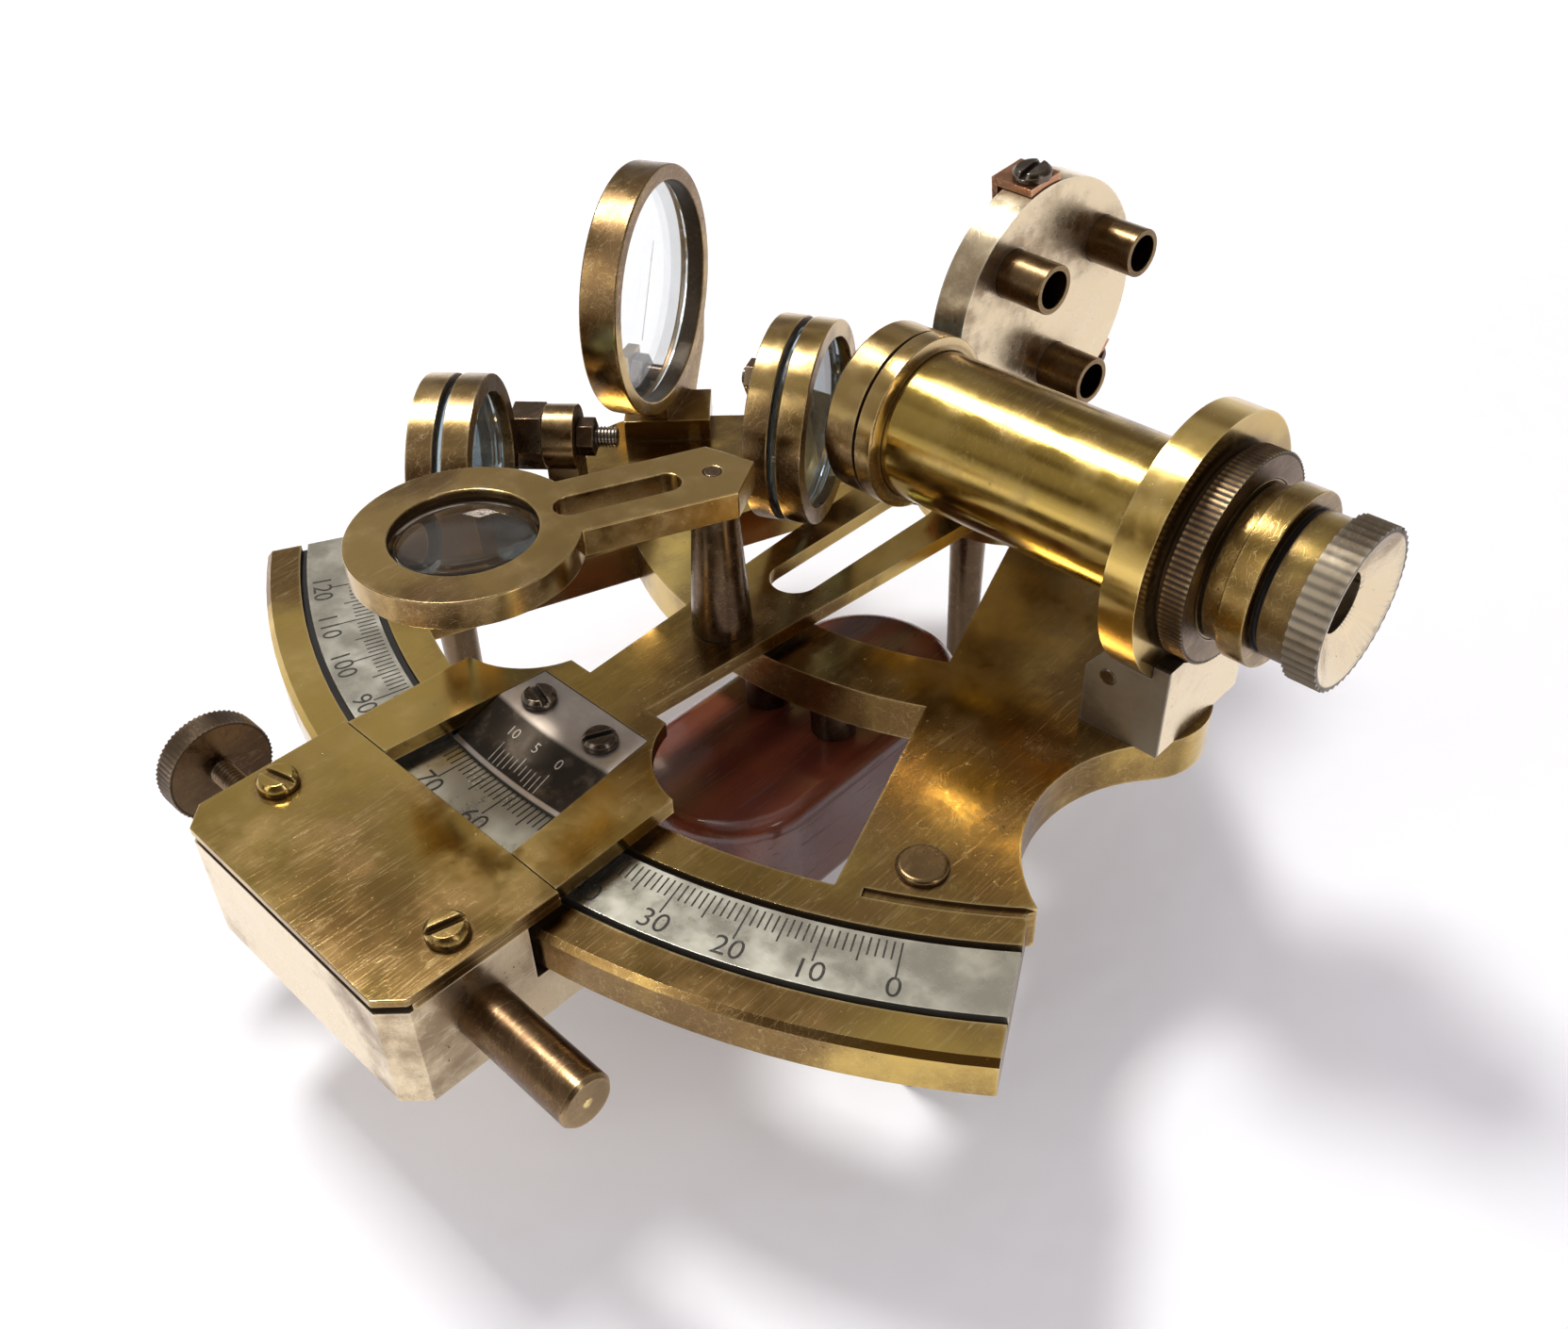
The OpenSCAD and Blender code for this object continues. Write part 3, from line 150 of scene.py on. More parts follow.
view = dict(place=(0.093244, -0.129442, 0.133768), turn=(0.8796, 0.025295, 0.752878), lens=34.907, sensor=36,
            nearest=0.005)
bpy.ops.object.camera_add(location=view["place"], rotation=view["turn"])
camera = bpy.context.object
camera.data.lens = view["lens"]
camera.data.sensor_width = view["sensor"]
camera.data.clip_start = view["nearest"]
scene.camera = camera
scene.view_settings.view_transform = "Standard"
print("camera set")


# shader helpers

class Term:
    def __init__(self, surface, socket):
        self.surface = surface
        self.socket = socket

    def reckon(self, operation, *values):
        return self.surface.add("ShaderNodeMath", {"operation": operation}, dict(enumerate(values)))

    def __add__(self, other):
        return self.reckon("ADD", self, other)

    def __sub__(self, other):
        return self.reckon("SUBTRACT", self, other)

    def __rsub__(self, other):
        return self.reckon("SUBTRACT", other, self)

    def __mul__(self, other):
        return self.reckon("MULTIPLY", self, other)

    def __abs__(self):
        return self.reckon("ABSOLUTE", self)

    __radd__ = __add__
    __rmul__ = __mul__


class Surface:
    def __init__(self, tree):
        self.tree = tree
        tree.nodes.clear()

    def add(self, kind, settings, inputs, output=0):
        node = self.tree.nodes.new(kind)
        for key, value in settings.items():
            setattr(node, key, value)
        for key, value in inputs.items():
            socket = node.inputs[key]
            if isinstance(value, Term):
                self.tree.links.new(value.socket, socket)
            elif socket.type == "RGBA":
                socket.default_value = tuple(value[:3]) + (1,)
            else:
                socket.default_value = value
        return Term(self, node.outputs[output]) if node.outputs else None

    def here(self, kind="Object"):
        return self.add("ShaderNodeTexCoord", {}, {}, kind)

    def spot(self, scale=(1, 1, 1), turn=(0, 0, 0), shift=(0, 0, 0)):
        place = {"Vector": self.here(), "Location": shift, "Rotation": turn, "Scale": scale}
        return self.add("ShaderNodeMapping", {}, place)

    def axes(self, place):
        return [self.add("ShaderNodeSeparateXYZ", {}, {"Vector": place}, axis) for axis in "XYZ"]

    def ring(self, a, b, centreA, centreB):
        across, along = a - centreA, b - centreB
        square = across * across + along * along
        return square.reckon("SQRT", square)

    def noise(self, spot, scale, detail=4, rough=0.55):
        return self.add("ShaderNodeTexNoise", {},
                        {"Vector": spot, "Scale": scale, "Detail": detail, "Roughness": rough})

    def band(self, value, low, high):
        return self.add("ShaderNodeMapRange", {"interpolation_type": "SMOOTHSTEP"},
                        {"Value": value, "From Min": low, "From Max": high})

    def past(self, value, edge):                 # an edge is where it starts and ends, in mm
        return self.band(value, edge[0] * mm, edge[1] * mm)

    def between(self, value, rise, fall):
        return self.past(value, rise) * (1 - self.past(value, fall))

    def blend(self, first, second, amount):
        return self.add("ShaderNodeMix", {"data_type": "RGBA"}, {0: amount, 6: first, 7: second}, 2)

    def hairlines(self, scale, turn, shift, fine, keen):
        wave = self.noise(self.spot(scale, turn, shift), fine, 2, 0.4)
        return 1 - self.band(abs(wave - 0.5), 0, keen)

    def crevice(self, reach, deep=0.25, clear=0.85):
        settings = {"samples": 6}
        free = self.add("ShaderNodeAmbientOcclusion", settings, {"Distance": reach}, "AO")
        return 1 - self.band(free, deep, clear)

    # Convex edges, found by ambient occlusion looking into the piece: worn edges that also carry a painted
    # highlight.
    def rubbedEdge(self, reach):
        settings = {"samples": 4, "inside": True}
        solid = self.add("ShaderNodeAmbientOcclusion", settings, {"Distance": reach}, "AO")
        return 1 - self.band(solid, 0.45, 0.80)

    def bump(self, height, strength, distance):
        return self.add("ShaderNodeBump", {}, {"Height": height, "Strength": strength, "Distance": distance})

    def seenBy(self, *rays):
        seen = sum((self.add("ShaderNodeLightPath", {}, {}, ray) for ray in rays), 0)
        return seen.reckon("MINIMUM", seen, 1)

    def close(self, inputs):
        shader = self.add("ShaderNodeBsdfPrincipled", {}, inputs)
        self.add("ShaderNodeOutputMaterial", {}, {"Surface": shader})


def newFinish(name):
    finish = bpy.data.materials.new(name)
    finish.use_nodes = True
    return finish, Surface(finish.node_tree)


# metals

# "body" is the clean metal, "bright" its rubbed places and the painted highlight on worn edges, "tarnish" the
# brown clouds, which also gather as painted shade near other parts, and the grime colour is dirt and painted
# shade in the corners. Cloud is in blotches a metre.
metalLooks = {
    "plateBrass": dict(body=(0.60, 0.415, 0.118), bright=(0.86, 0.69, 0.36), tarnish=(0.150, 0.078, 0.030),
                       grime_and_shade=(0.030, 0.015, 0.008), cloud=26, clean=0.445, amount=0.86, rough=(0.10, 0.25),
                       brush=(1, 0.03, 1), brushTurn=(0, 0, 0.9), brushDepth=0.12, pits=0.5),
    "turnedBrass": dict(body=(0.49, 0.335, 0.085), bright=(0.86, 0.69, 0.32), tarnish=(0.130, 0.067, 0.023),
                        grime_and_shade=(0.030, 0.015, 0.008), cloud=36, clean=0.455, amount=0.80, rough=(0.12, 0.26),
                        brush=(1, 0.02, 0.02), brushTurn=(0, 0, 0), brushDepth=0.12, pits=0.4),
    "rosyBrass": dict(body=(0.47, 0.320, 0.118), bright=(0.84, 0.67, 0.38), tarnish=(0.112, 0.056, 0.026),
                      grime_and_shade=(0.026, 0.013, 0.009), cloud=44, clean=0.445, amount=0.84, rough=(0.14, 0.30),
                      brush=(1, 0.03, 0.03), brushTurn=(0, 0, 0.6), brushDepth=0.10, pits=0.5),
    # A paler copy of brass for faces that mirror the white floor (the clamp box, the mirror disc, the eyepiece
    # cap, the telescope bracket): painted reflection.
    "reflectionPaleBrass": dict(body=(0.80, 0.66, 0.44), bright=(0.93, 0.85, 0.68), tarnish=(0.230, 0.145, 0.075),
                      grime_and_shade=(0.030, 0.016, 0.009), cloud=58, clean=0.50, amount=0.82, rough=(0.18, 0.34),
                      brush=(1, 0.2, 1), brushTurn=(0, 0, 0.4), brushDepth=0.10, pits=0.8),
    "darkBrass": dict(body=(0.215, 0.138, 0.062), bright=(0.52, 0.38, 0.20), tarnish=(0.090, 0.048, 0.026),
                      grime_and_shade=(0.016, 0.009, 0.006), cloud=60, clean=0.47, amount=0.75, rough=(0.18, 0.36),
                      brush=(1, 0.05, 0.05), brushTurn=(0, 0, 0), brushDepth=0.08, pits=0.5),
    "bronze": dict(body=(0.165, 0.112, 0.066), bright=(0.42, 0.31, 0.20), tarnish=(0.070, 0.040, 0.025),
                   grime_and_shade=(0.010, 0.007, 0.005), cloud=80, clean=0.48, amount=0.70, rough=(0.18, 0.38),
                   brush=(1, 1, 0.05), brushTurn=(0, 0, 0), brushDepth=0.06, pits=0.5),
    "steel": dict(body=(0.135, 0.108, 0.084), bright=(0.40, 0.34, 0.28), tarnish=(0.050, 0.035, 0.026),
                  grime_and_shade=(0.008, 0.006, 0.005), cloud=120, clean=0.48, amount=0.75, rough=(0.16, 0.36),
                  brush=(1, 0.2, 0.2), brushTurn=(0, 0, 0), brushDepth=0.05, pits=0.4),
    "silver": dict(body=(0.475, 0.455, 0.375), bright=(0.66, 0.64, 0.56), tarnish=(0.30, 0.26, 0.18),
                   grime_and_shade=(0.060, 0.048, 0.034), cloud=46, clean=0.54, amount=0.32, rough=(0.24, 0.40),
                   brush=(0.04, 1, 1), brushTurn=(0, 0, 0), brushDepth=0.14, pits=0.15),
    "copper": dict(body=(0.50, 0.245, 0.13), bright=(0.80, 0.48, 0.30), tarnish=(0.20, 0.075, 0.035),
                   grime_and_shade=(0.030, 0.014, 0.009), cloud=110, clean=0.50, amount=0.6, rough=(0.18, 0.34),
                   brush=(1, 0.1, 1), brushTurn=(0, 0, 0), brushDepth=0.06, pits=0.4),
}
# What all metals share.
metalWear = dict(
    smudge=5.1, speck=1300, grain=5200,                     # smudges to a cloud, then grains a metre
    corner=0.0016, nook_patina_and_shade=0.0085, edge=0.0005,                # how far the corner dirt and painted shade, the patina and painted shade near other parts, and the worn edges with their painted highlight reach, in metres
    clouds=dict(broad=0.72, middle=0.28),                   # what the tarnish is mixed from
    # the tarnish mask is mixed from the clouds, from patina and painted shade near other parts, and from the
    # brushing grain
    brown_tarnish_and_shade=dict(cloudy=0.80, nook_patina_and_shade=0.80, grain=0.16),
    shine=dict(middle=0.34, scratch=0.20, rubbed_and_highlight=0.60),     # how much of the bright colour shows
    # how strongly the corners darken: dirt and painted shade
    dirt_and_shade=0.72,
    matt=dict(corner=0.30, pit=0.30, brown_tarnish_and_shade=0.08),
    dull=dict(corner=0.30, pit=0.50),
    relief=dict(scratch=-0.08, middle=0.26, pit=-0.60), bump=(0.32, 0.00006),
)
scratchRuns = (
    dict(scale=(1, 0.07, 1), turn=(0, 0, 0.55), shift=(0, 0, 0), fine=900, keen=0.011),
    dict(scale=(1, 0.06, 1), turn=(0, 0, -0.95), shift=(0.2, 0, 0), fine=760, keen=0.010),
    dict(scale=(1, 0.20, 0.6), turn=(0.4, 0.2, 1.5), shift=(0, 0.3, 0), fine=1000, keen=0.010),
)
paintedShadeBlack = dict(colour=(0.012, 0.009, 0.007), rough=0.25, metal=0.6)      # painted shade: near-black laid in grooves, bores, knurl valleys, inside the horizon rim and on the bracket front


def metalFinish(name, look, shadePainter=None):
    finish, s = newFinish(name)
    plain = s.spot()
    broad = s.noise(plain, look["cloud"], 4, 0.52)
    middle = s.noise(s.spot(shift=(0.31, 0.17, 0.05)), look["cloud"] * metalWear["smudge"], 6, 0.62)
    speck = s.noise(plain, metalWear["speck"], 3, 0.6)
    grain = s.noise(s.spot(look["brush"], look["brushTurn"]), metalWear["grain"], 3, 0.6)
    scratch = sum((s.hairlines(**run) for run in scratchRuns), 0) * s.band(broad, 0.34, 0.58)
    # corner: near-black close to other surfaces, dirt and painted shade in the corners
    corner = s.crevice(metalWear["corner"], 0.20, 0.75)
    # nook: more tarnish farther out from other surfaces, patina and painted shade near other parts
    nook_patina_and_shade = s.crevice(metalWear["nook_patina_and_shade"], 0.30, 0.98)
    # rubbed: brighter convex edges, worn brass and a painted highlight
    rubbed_and_highlight = s.rubbedEdge(metalWear["edge"])
    pit = s.band(speck, 0.69, 0.75) * look["pits"]
    clouds, mix, shine = metalWear["clouds"], metalWear["brown_tarnish_and_shade"], metalWear["shine"]
    cloudy = broad * clouds["broad"] + middle * clouds["middle"]
    cloudy = s.band(cloudy, look["clean"] - 0.07, look["clean"] + 0.17)
    brown_tarnish_and_shade = cloudy * mix["cloudy"] + nook_patina_and_shade * mix["nook_patina_and_shade"] + grain * mix["grain"]
    brown_tarnish_and_shade = s.band(brown_tarnish_and_shade, 0.20, 0.92) * look["amount"]
    colour = s.blend(look["body"], look["bright"], s.band(middle, 0.42, 0.80) * shine["middle"])
    colour = s.blend(colour, look["tarnish"], brown_tarnish_and_shade)
    colour = s.blend(colour, look["bright"], scratch * shine["scratch"])
    colour = s.blend(colour, look["bright"], rubbed_and_highlight * shine["rubbed_and_highlight"])
    colour = s.blend(colour, look["grime_and_shade"], corner * metalWear["dirt_and_shade"])
    colour = s.blend(colour, look["grime_and_shade"], pit)
    matt, dull, relief = metalWear["matt"], metalWear["dull"], metalWear["relief"]
    low, high = look["rough"]
    rough = low + s.band(middle, 0.3, 0.75) * (high - low)
    rough = rough + corner * matt["corner"] + pit * matt["pit"] + brown_tarnish_and_shade * matt["brown_tarnish_and_shade"]
    metal = 1 - corner * dull["corner"] - pit * dull["pit"]
    # painted shade: near-black laid where the shade painter marks the piece
    if shadePainter:
        mask = shadePainter(s)
        colour = s.blend(colour, paintedShadeBlack["colour"], mask)
        rough = rough + mask * paintedShadeBlack["rough"]
        metal = metal - mask * paintedShadeBlack["metal"]
    height = grain * look["brushDepth"] + scratch * relief["scratch"]
    height = height + middle * relief["middle"] + pit * relief["pit"]
    normal = s.bump(height, *metalWear["bump"])
    s.close({"Base Color": colour, "Metallic": metal, "Roughness": rough, "Normal": normal})
    return finish


# Where single pieces get painted shade: near-black in grooves, bores, knurl valleys, inside the horizon
# rim and on the bracket's front. Each pair is where an edge starts and ends, in mm from
# the piece's axis or face, and for heights and the places along the tube from zero.
grooves = dict(inner=((78.80, 78.88), (79.56, 79.62)), outer=((86.58, 86.64), (87.32, 87.40)),
               heights=((30.0, 30.1), (30.93, 30.99)))
knurls = dict(lock=((10.20, 10.26), (10.42, 10.56)), lockAlong=(41.9, 42.4),
              capFoot=(7.30, 7.55), capTop=(7.72, 7.94), capAlong=(52, 53), dark=0.85)
knobKnurl = dict(valley=((5.38, 5.46), (5.58, 5.74)), dark=0.8)
rimInside = dict(edge=(13.15, 13.35), dark=0.9)
blockFrontShade = dict(edge=(0.15, 0.5), dark=0.72)
boreEdge = (6.9, 7.3)


# Painted shade: the limb's two grooves darkened to near-black.
def scaleGrooves(s):
    x, y, z = s.axes(s.here())
    out = s.ring(x, y, pivot.x, pivot.y)
    both = s.between(out, *grooves["inner"]) + s.between(out, *grooves["outer"])
    return both * s.between(z, *grooves["heights"])


# Painted shade: the inside of the telescope and eyepiece bores darkened to near-black.
def tubeBore(s):
    x, y, z = s.axes(s.here())
    return 1 - s.past(s.ring(y, z, tubeAxis.y, tubeAxis.z), boreEdge)


# Painted shade: the knurl valleys of the lock ring and the eyepiece cap darkened.
def knurlValleys(s):
    x, y, z = s.axes(s.here())
    out = s.ring(y, z, tubeAxis.y, tubeAxis.z)
    lock = s.between(out, *knurls["lock"]) * s.past(x, knurls["lockAlong"])
    cap = s.past(out, knurls["capFoot"]) * (0.95 - s.past(out, knurls["capTop"]) * 0.25)
    return (lock + cap * s.past(x, knurls["capAlong"])) * knurls["dark"]


# Painted shade: the knob's knurl valleys darkened.
def knobValleys(s):
    x, y, z = s.axes(s.here())
    axis = onArm(-29, *tangentLine).translation
    return s.between(s.ring(y, z, axis.y, axis.z), *knobKnurl["valley"]) * knobKnurl["dark"]


# Painted shade: the inner wall of the horizon mirror's rim darkened.
def horizonRim(s):
    x, y, z = s.axes(s.here())
    sine, cosine = math.sin(math.radians(horizonMirror["az"])), math.cos(math.radians(horizonMirror["az"]))
    centre = onFrame(*horizonMirror["centre"]).translation
    side = x * -sine + y * cosine
    out = s.ring(side, z, centre.y * cosine - centre.x * sine, centre.z)
    return (1 - s.past(out, rimInside["edge"])) * rimInside["dark"]


# Painted shade: the telescope bracket's front face darkened toward near-black.
def blockFront(s):
    x, y, z = s.axes(s.here())
    return (1 - s.past(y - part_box("scope_bracket")[0][1], blockFrontShade["edge"])) * blockFrontShade["dark"]


finishes = {name: metalFinish(name, look) for name, look in metalLooks.items()}
# Metals with painted shade laid on single pieces by the shade painters above.
for name, look, shadePainter in (
    ("limbBrass", "plateBrass", scaleGrooves), ("tubeBrass", "turnedBrass", tubeBore),
    ("rimBrass", "rosyBrass", horizonRim), ("blockBrass", "reflectionPaleBrass", blockFront),
    ("capBrass", "reflectionPaleBrass", knurlValleys), ("lockBronze", "darkBrass", knurlValleys),
    ("knobBronze", "bronze", knobValleys),
):
    finishes[name] = metalFinish(name, metalLooks[look], shadePainter)
print("metals made:", len(finishes))


# wood, glass and engraving

handleWood = dict(light=(0.215, 0.052, 0.024), dark=(0.098, 0.021, 0.012), pore=(0.034, 0.008, 0.006),
                  turn=(0, 0, 0.06), growth=(1, 0.10, 1), pores=(1, 0.05, 1), rings=55, wander=70,
                  poreScale=2600, coat=0.6, bumpDepth=0.00008)
finish, s = newFinish("handleWood")
along = s.spot(handleWood["growth"], handleWood["turn"])
wander = s.noise(along, handleWood["wander"], 4, 0.55)
ring = s.add("ShaderNodeTexWave", {"wave_type": "BANDS", "bands_direction": "X"},
             {"Vector": along, "Scale": handleWood["rings"], "Distortion": 4, "Detail": 3, "Detail Scale": 2.2})
fibre = s.spot(handleWood["pores"], handleWood["turn"])
pore = s.band(s.noise(fibre, handleWood["poreScale"], 2, 0.5), 0.60, 0.72)
colour = s.blend(handleWood["dark"], handleWood["light"], s.band(ring * 0.35 + wander * 0.65, 0.25, 0.85))
colour = s.blend(colour, handleWood["pore"], pore * 0.55)
s.close({"Base Color": colour, "Roughness": 0.22 + pore * 0.25 + wander * 0.08,
         "Coat Weight": handleWood["coat"] - pore * 0.3, "Coat Roughness": 0.08,
         "Normal": s.bump(pore * -1 + wander * 0.3, 0.25, handleWood["bumpDepth"])})
finishes["handleWood"] = finish

glassLooks = {
    "clearGlass": dict(tint=(0.90, 0.93, 0.92), cloudy=(0.80, 0.82, 0.80), clearness=0.96),
    # The magnifier lens is clear glass tinted dark brown, standing in for the shade seen through it: painted
    # shade.
    "lensGlass": dict(tint=(0.29, 0.255, 0.215), cloudy=(0.50, 0.47, 0.43), clearness=0.97),
    "smokedGlass": dict(tint=(0.56, 0.66, 0.70), cloudy=(0.50, 0.56, 0.58), clearness=0.93),
}
for name, look in glassLooks.items():
    finishes[name], s = newFinish(name)
    smear = s.noise(s.spot((1, 1, 0.4)), 240, 4, 0.6)
    dust = s.band(s.noise(s.spot(), 2600, 2, 0.5), 0.70, 0.76)
    s.close({"Base Color": s.blend(look["tint"], look["cloudy"], smear * 0.12 + dust * 0.4),
             "Transmission Weight": look["clearness"], "IOR": 1.5,
             "Roughness": s.band(smear, 0.50, 0.85) * 0.03 + dust * 0.10})

silvering = dict(clean=(0.80, 0.81, 0.80), flecked=(0.30, 0.27, 0.22), haze=160, fleck=900, edge=0.0015)
finishes["silveredGlass"], s = newFinish("silveredGlass")
haze = s.noise(s.spot(), silvering["haze"], 5, 0.6)
fleck = s.band(s.noise(s.spot(), silvering["fleck"], 3, 0.6), 0.66, 0.74)
# darker at random flecks and, by ambient occlusion, within reach of the rim and clips
fleckedAndEdgeDarkened = fleck * 0.5 + s.crevice(silvering["edge"]) * 0.5
s.close({"Base Color": s.blend(silvering["clean"], silvering["flecked"], fleckedAndEdgeDarkened), "Metallic": 0.96,
         "Roughness": 0.03 + s.band(haze, 0.5, 0.8) * 0.07, "Coat Weight": 0.5})

fillLooks = {   # what fills the cut divisions and numbers
    "engraving": dict(fill=(0.030, 0.026, 0.021), worn=(0.120, 0.105, 0.080), grain=1800, wornPast=0.75,
                      metal=0.3, rough=0.45, spread=0.3),
    "paleEngraving": dict(fill=(0.66, 0.64, 0.58), worn=(0.30, 0.28, 0.24), grain=2600, wornPast=0.72,
                          metal=0.6, rough=0.30, spread=0.2),
}
for name, look in fillLooks.items():
    finishes[name], s = newFinish(name)
    fill = s.noise(s.spot(), look["grain"], 3, 0.6)
    s.close({"Base Color": s.blend(look["fill"], look["worn"], s.band(fill, 0.50, look["wornPast"])),
             "Metallic": look["metal"], "Roughness": look["rough"] + fill * look["spread"]})

# The vernier's slope is painted near-black and dull between two distances from the pivot, in mm, and its top is
# bright: painted shade on the slope.
vernierSilver = dict(top=((0.60, 0.56, 0.53), (0.70, 0.66, 0.62)),
                     slopeShade=((0.040, 0.033, 0.026), (0.150, 0.128, 0.100)), grime_and_shade=(0.030, 0.025, 0.020),
                     slopeFrom=(73.9, 74.5), slopeTo=(79.45, 79.62), cloud=420, grain=4200,
                     corner=0.0012, bumpDepth=0.00006)
finishes["vernierSilver"], s = newFinish("vernierSilver")
x, y, z = s.axes(s.here())
dull = s.between(s.ring(x, y, pivot.x, pivot.y), vernierSilver["slopeFrom"], vernierSilver["slopeTo"])
cloud = s.noise(s.spot(), vernierSilver["cloud"], 6, 0.65)
grain = s.noise(s.spot((0.05, 1, 1)), vernierSilver["grain"], 3, 0.6)
colour = s.blend(*vernierSilver["top"], s.band(cloud, 0.4, 0.7))
colour = s.blend(colour, s.blend(*vernierSilver["slopeShade"], s.band(cloud, 0.48, 0.80)), dull)
# near-black where the plate meets other surfaces: dirt and painted shade
colour = s.blend(colour, vernierSilver["grime_and_shade"], s.crevice(vernierSilver["corner"]) * 0.8)
s.close({"Base Color": colour, "Metallic": 0.95 - dull * 0.2, "Roughness": 0.24 + cloud * 0.14,
         "Normal": s.bump(grain * 0.2 + cloud * 0.4, 0.3, vernierSilver["bumpDepth"])})
print("finishes made:", len(finishes))


# CAD nodes, each dressed with its finish and with broken edges (width in mm)

dressing = {
    "limbBrass": {"frame": 0.22},
    "plateBrass": {"index_arm": 0.14, "cover_plate": 0.16, "horizon_bracket": 0.2, "mirror_foot": 0.2,
                   "scope_collar": 0.22},
    # a paler copy of brass: painted reflection of the white floor
    "reflectionPaleBrass": {"clamp_box": 0.22, "mirror_disc": 0.25},
    "blockBrass": {"scope_bracket": 0.2},
    "turnedBrass": {"cover_screws": 0.12},
    "rosyBrass": {"index_shade_1": 0.2, "index_shade_2": 0.2, "horizon_shade_1": 0.2, "horizon_shade_2": 0.2,
                  "objective_ring": 0.15, "magnifier_arm": 0.25},
    "rimBrass": {"horizon_frame": 0.25},
    "capBrass": {"eyepiece_cap": 0},
    "lockBronze": {"lock_ring": 0},
    "knobBronze": {"tangent_knob": 0},
    "tubeBrass": {"scope_tube": 0.15, "eyepiece_barrel": 0.15},
    "darkBrass": {"pivot_washer": 0.1, "limb_clamp": 0.15, "clamp_spring": 0, "leg_studs": 0.15,
                  "bracket_screws": 0.12, "horizon_shade_bracket": 0.15, "index_shade_bracket": 0.15,
                  "mirror_tubes": 0.12, "spring_barrel": 0.2},
    # The handle pillars wear this dark bronze so they pass as the shade under the frame: painted shade.
    "bronze": {"legs": 0.2, "magnifier_post": 0.15, "handle_pillars": 0.2, "clamp_screw": 0.1,
               "shade_nuts": 0.12, "pivot_nut": 0.2, "magnifier_rivet": 0.1},
    "steel": {"vernier_screws": 0.1, "horizon_screw": 0.1, "mirror_screws": 0.1, "pivot_pin": 0.15,
              "bracket_pin": 0.1, "handle_screws": 0.1, "shade_bolts": 0.1, "spring_plunger": 0.1},
    "silver": {"scale_strip": 0.05},
    "vernierSilver": {"vernier_plate": 0.05},
    "copper": {"mirror_clips": 0.3},
    "handleWood": {"handle": 0.3},
    "clearGlass": {"horizon_glass": 0.1, "objective_lens": 0.1, "eye_lens": 0.1},
    "smokedGlass": {"index_shade_glass_1": 0.1, "index_shade_glass_2": 0.1, "horizon_shade_glass_1": 0.1,
                    "horizon_shade_glass_2": 0.1},
    "silveredGlass": {"index_mirror": 0.15},
}
edgeRule = dict(corner=38, smooth=48, smoothPlain=32, flat=0.4)       # angles in degrees


def dress(node, finishName, edge):
    piece = copyOf(nodes[node])
    piece.name = node + "_dressed"
    del piece["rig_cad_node"]
    editWhole(piece)
    bpy.ops.mesh.remove_doubles(threshold=closeBy)
    bpy.ops.mesh.dissolve_limited(angle_limit=math.radians(edgeRule["flat"]))
    bpy.ops.object.mode_set(mode="OBJECT")
    if edge:
        applied(piece, "BEVEL", width=edge * mm, segments=2, limit_method="ANGLE",
                angle_limit=math.radians(edgeRule["corner"]), use_clamp_overlap=True, miter_outer="MITER_ARC")
    choose(piece)
    bpy.ops.object.shade_smooth_by_angle(angle=math.radians(edgeRule["smooth" if edge else "smoothPlain"]))
    applied(piece, "WEIGHTED_NORMAL", keep_sharp=True, weight=60)
    wear(piece, finishes[finishName], bodyOf[node])
    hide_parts(node)
    return piece


dressed = [dress(node, finishName, edge)
           for finishName, group in dressing.items() for node, edge in group.items()]
print("nodes dressed:", len(dressed), "faces:", sum(len(piece.data.polygons) for piece in dressed))


# divisions and numbers

def cutMark(wide, long, deep):
    bpy.ops.mesh.primitive_cube_add(size=1)
    mark = bpy.context.object
    mark.scale = (wide * mm, long * mm, deep * mm)
    bpy.ops.object.transform_apply(location=False, rotation=False, scale=True)
    editPart(mark, "FACE", lambda face: face.normal.z < -0.9)
    bpy.ops.transform.resize(value=(0.4, 0.92, 1), center_override=(0, 0, 0))
    bpy.ops.object.mode_set(mode="OBJECT")
    return mark


def number(text, high, weight):
    bpy.ops.object.text_add()
    figure = bpy.context.object
    figure.data.body = text
    figure.data.size = high * mm / 0.70           # a figure is 0.70 of the type size
    figure.data.align_x = "CENTER"
    figure.data.align_y = "CENTER"
    figure.data.extrude = 0.012 * mm
    figure.data.offset = weight * mm
    figure.data.resolution_u = 4
    choose(figure)
    bpy.ops.object.convert(target="MESH")
    return bpy.context.object


scaleMarks = dict(last=120, zeroAt=30, step=0.5, start=80.05, one=2.0, five=2.8, ten=3.9, wide=0.17, deep=0.05,
                  markUp=-0.008, numberOut=85.05, numberHigh=2.15, numberWeight=-0.012, numberUp=0.006)


def onScale(label, out, up):
    angle = math.radians(scaleMarks["zeroAt"] - scaleMarks["step"] * label)
    return onFrame(out * math.sin(angle), out * math.cos(angle), up, angle)


patterns = {kind: cutMark(scaleMarks["wide"], scaleMarks[kind], scaleMarks["deep"])
            for kind in ("one", "five", "ten")}
marks = []
for label in range(scaleMarks["last"] + 1):
    kind = "ten" if label % 10 == 0 else "five" if label % 5 == 0 else "one"
    mark = copyOf(patterns[kind])
    settle(mark, onScale(label, scaleMarks["start"] + scaleMarks[kind] / 2, scaleMarks["markUp"]))
    marks.append(mark)
for label in range(0, scaleMarks["last"] + 1, 10):
    figure = number(str(label), scaleMarks["numberHigh"], scaleMarks["numberWeight"])
    settle(figure, onScale(label, scaleMarks["numberOut"], scaleMarks["numberUp"]))
    marks.append(figure)
for pattern in patterns.values():
    bpy.data.objects.remove(pattern)
wear(merged("scaleDivisions", marks), finishes["engraving"], "base")
print("scale divided")

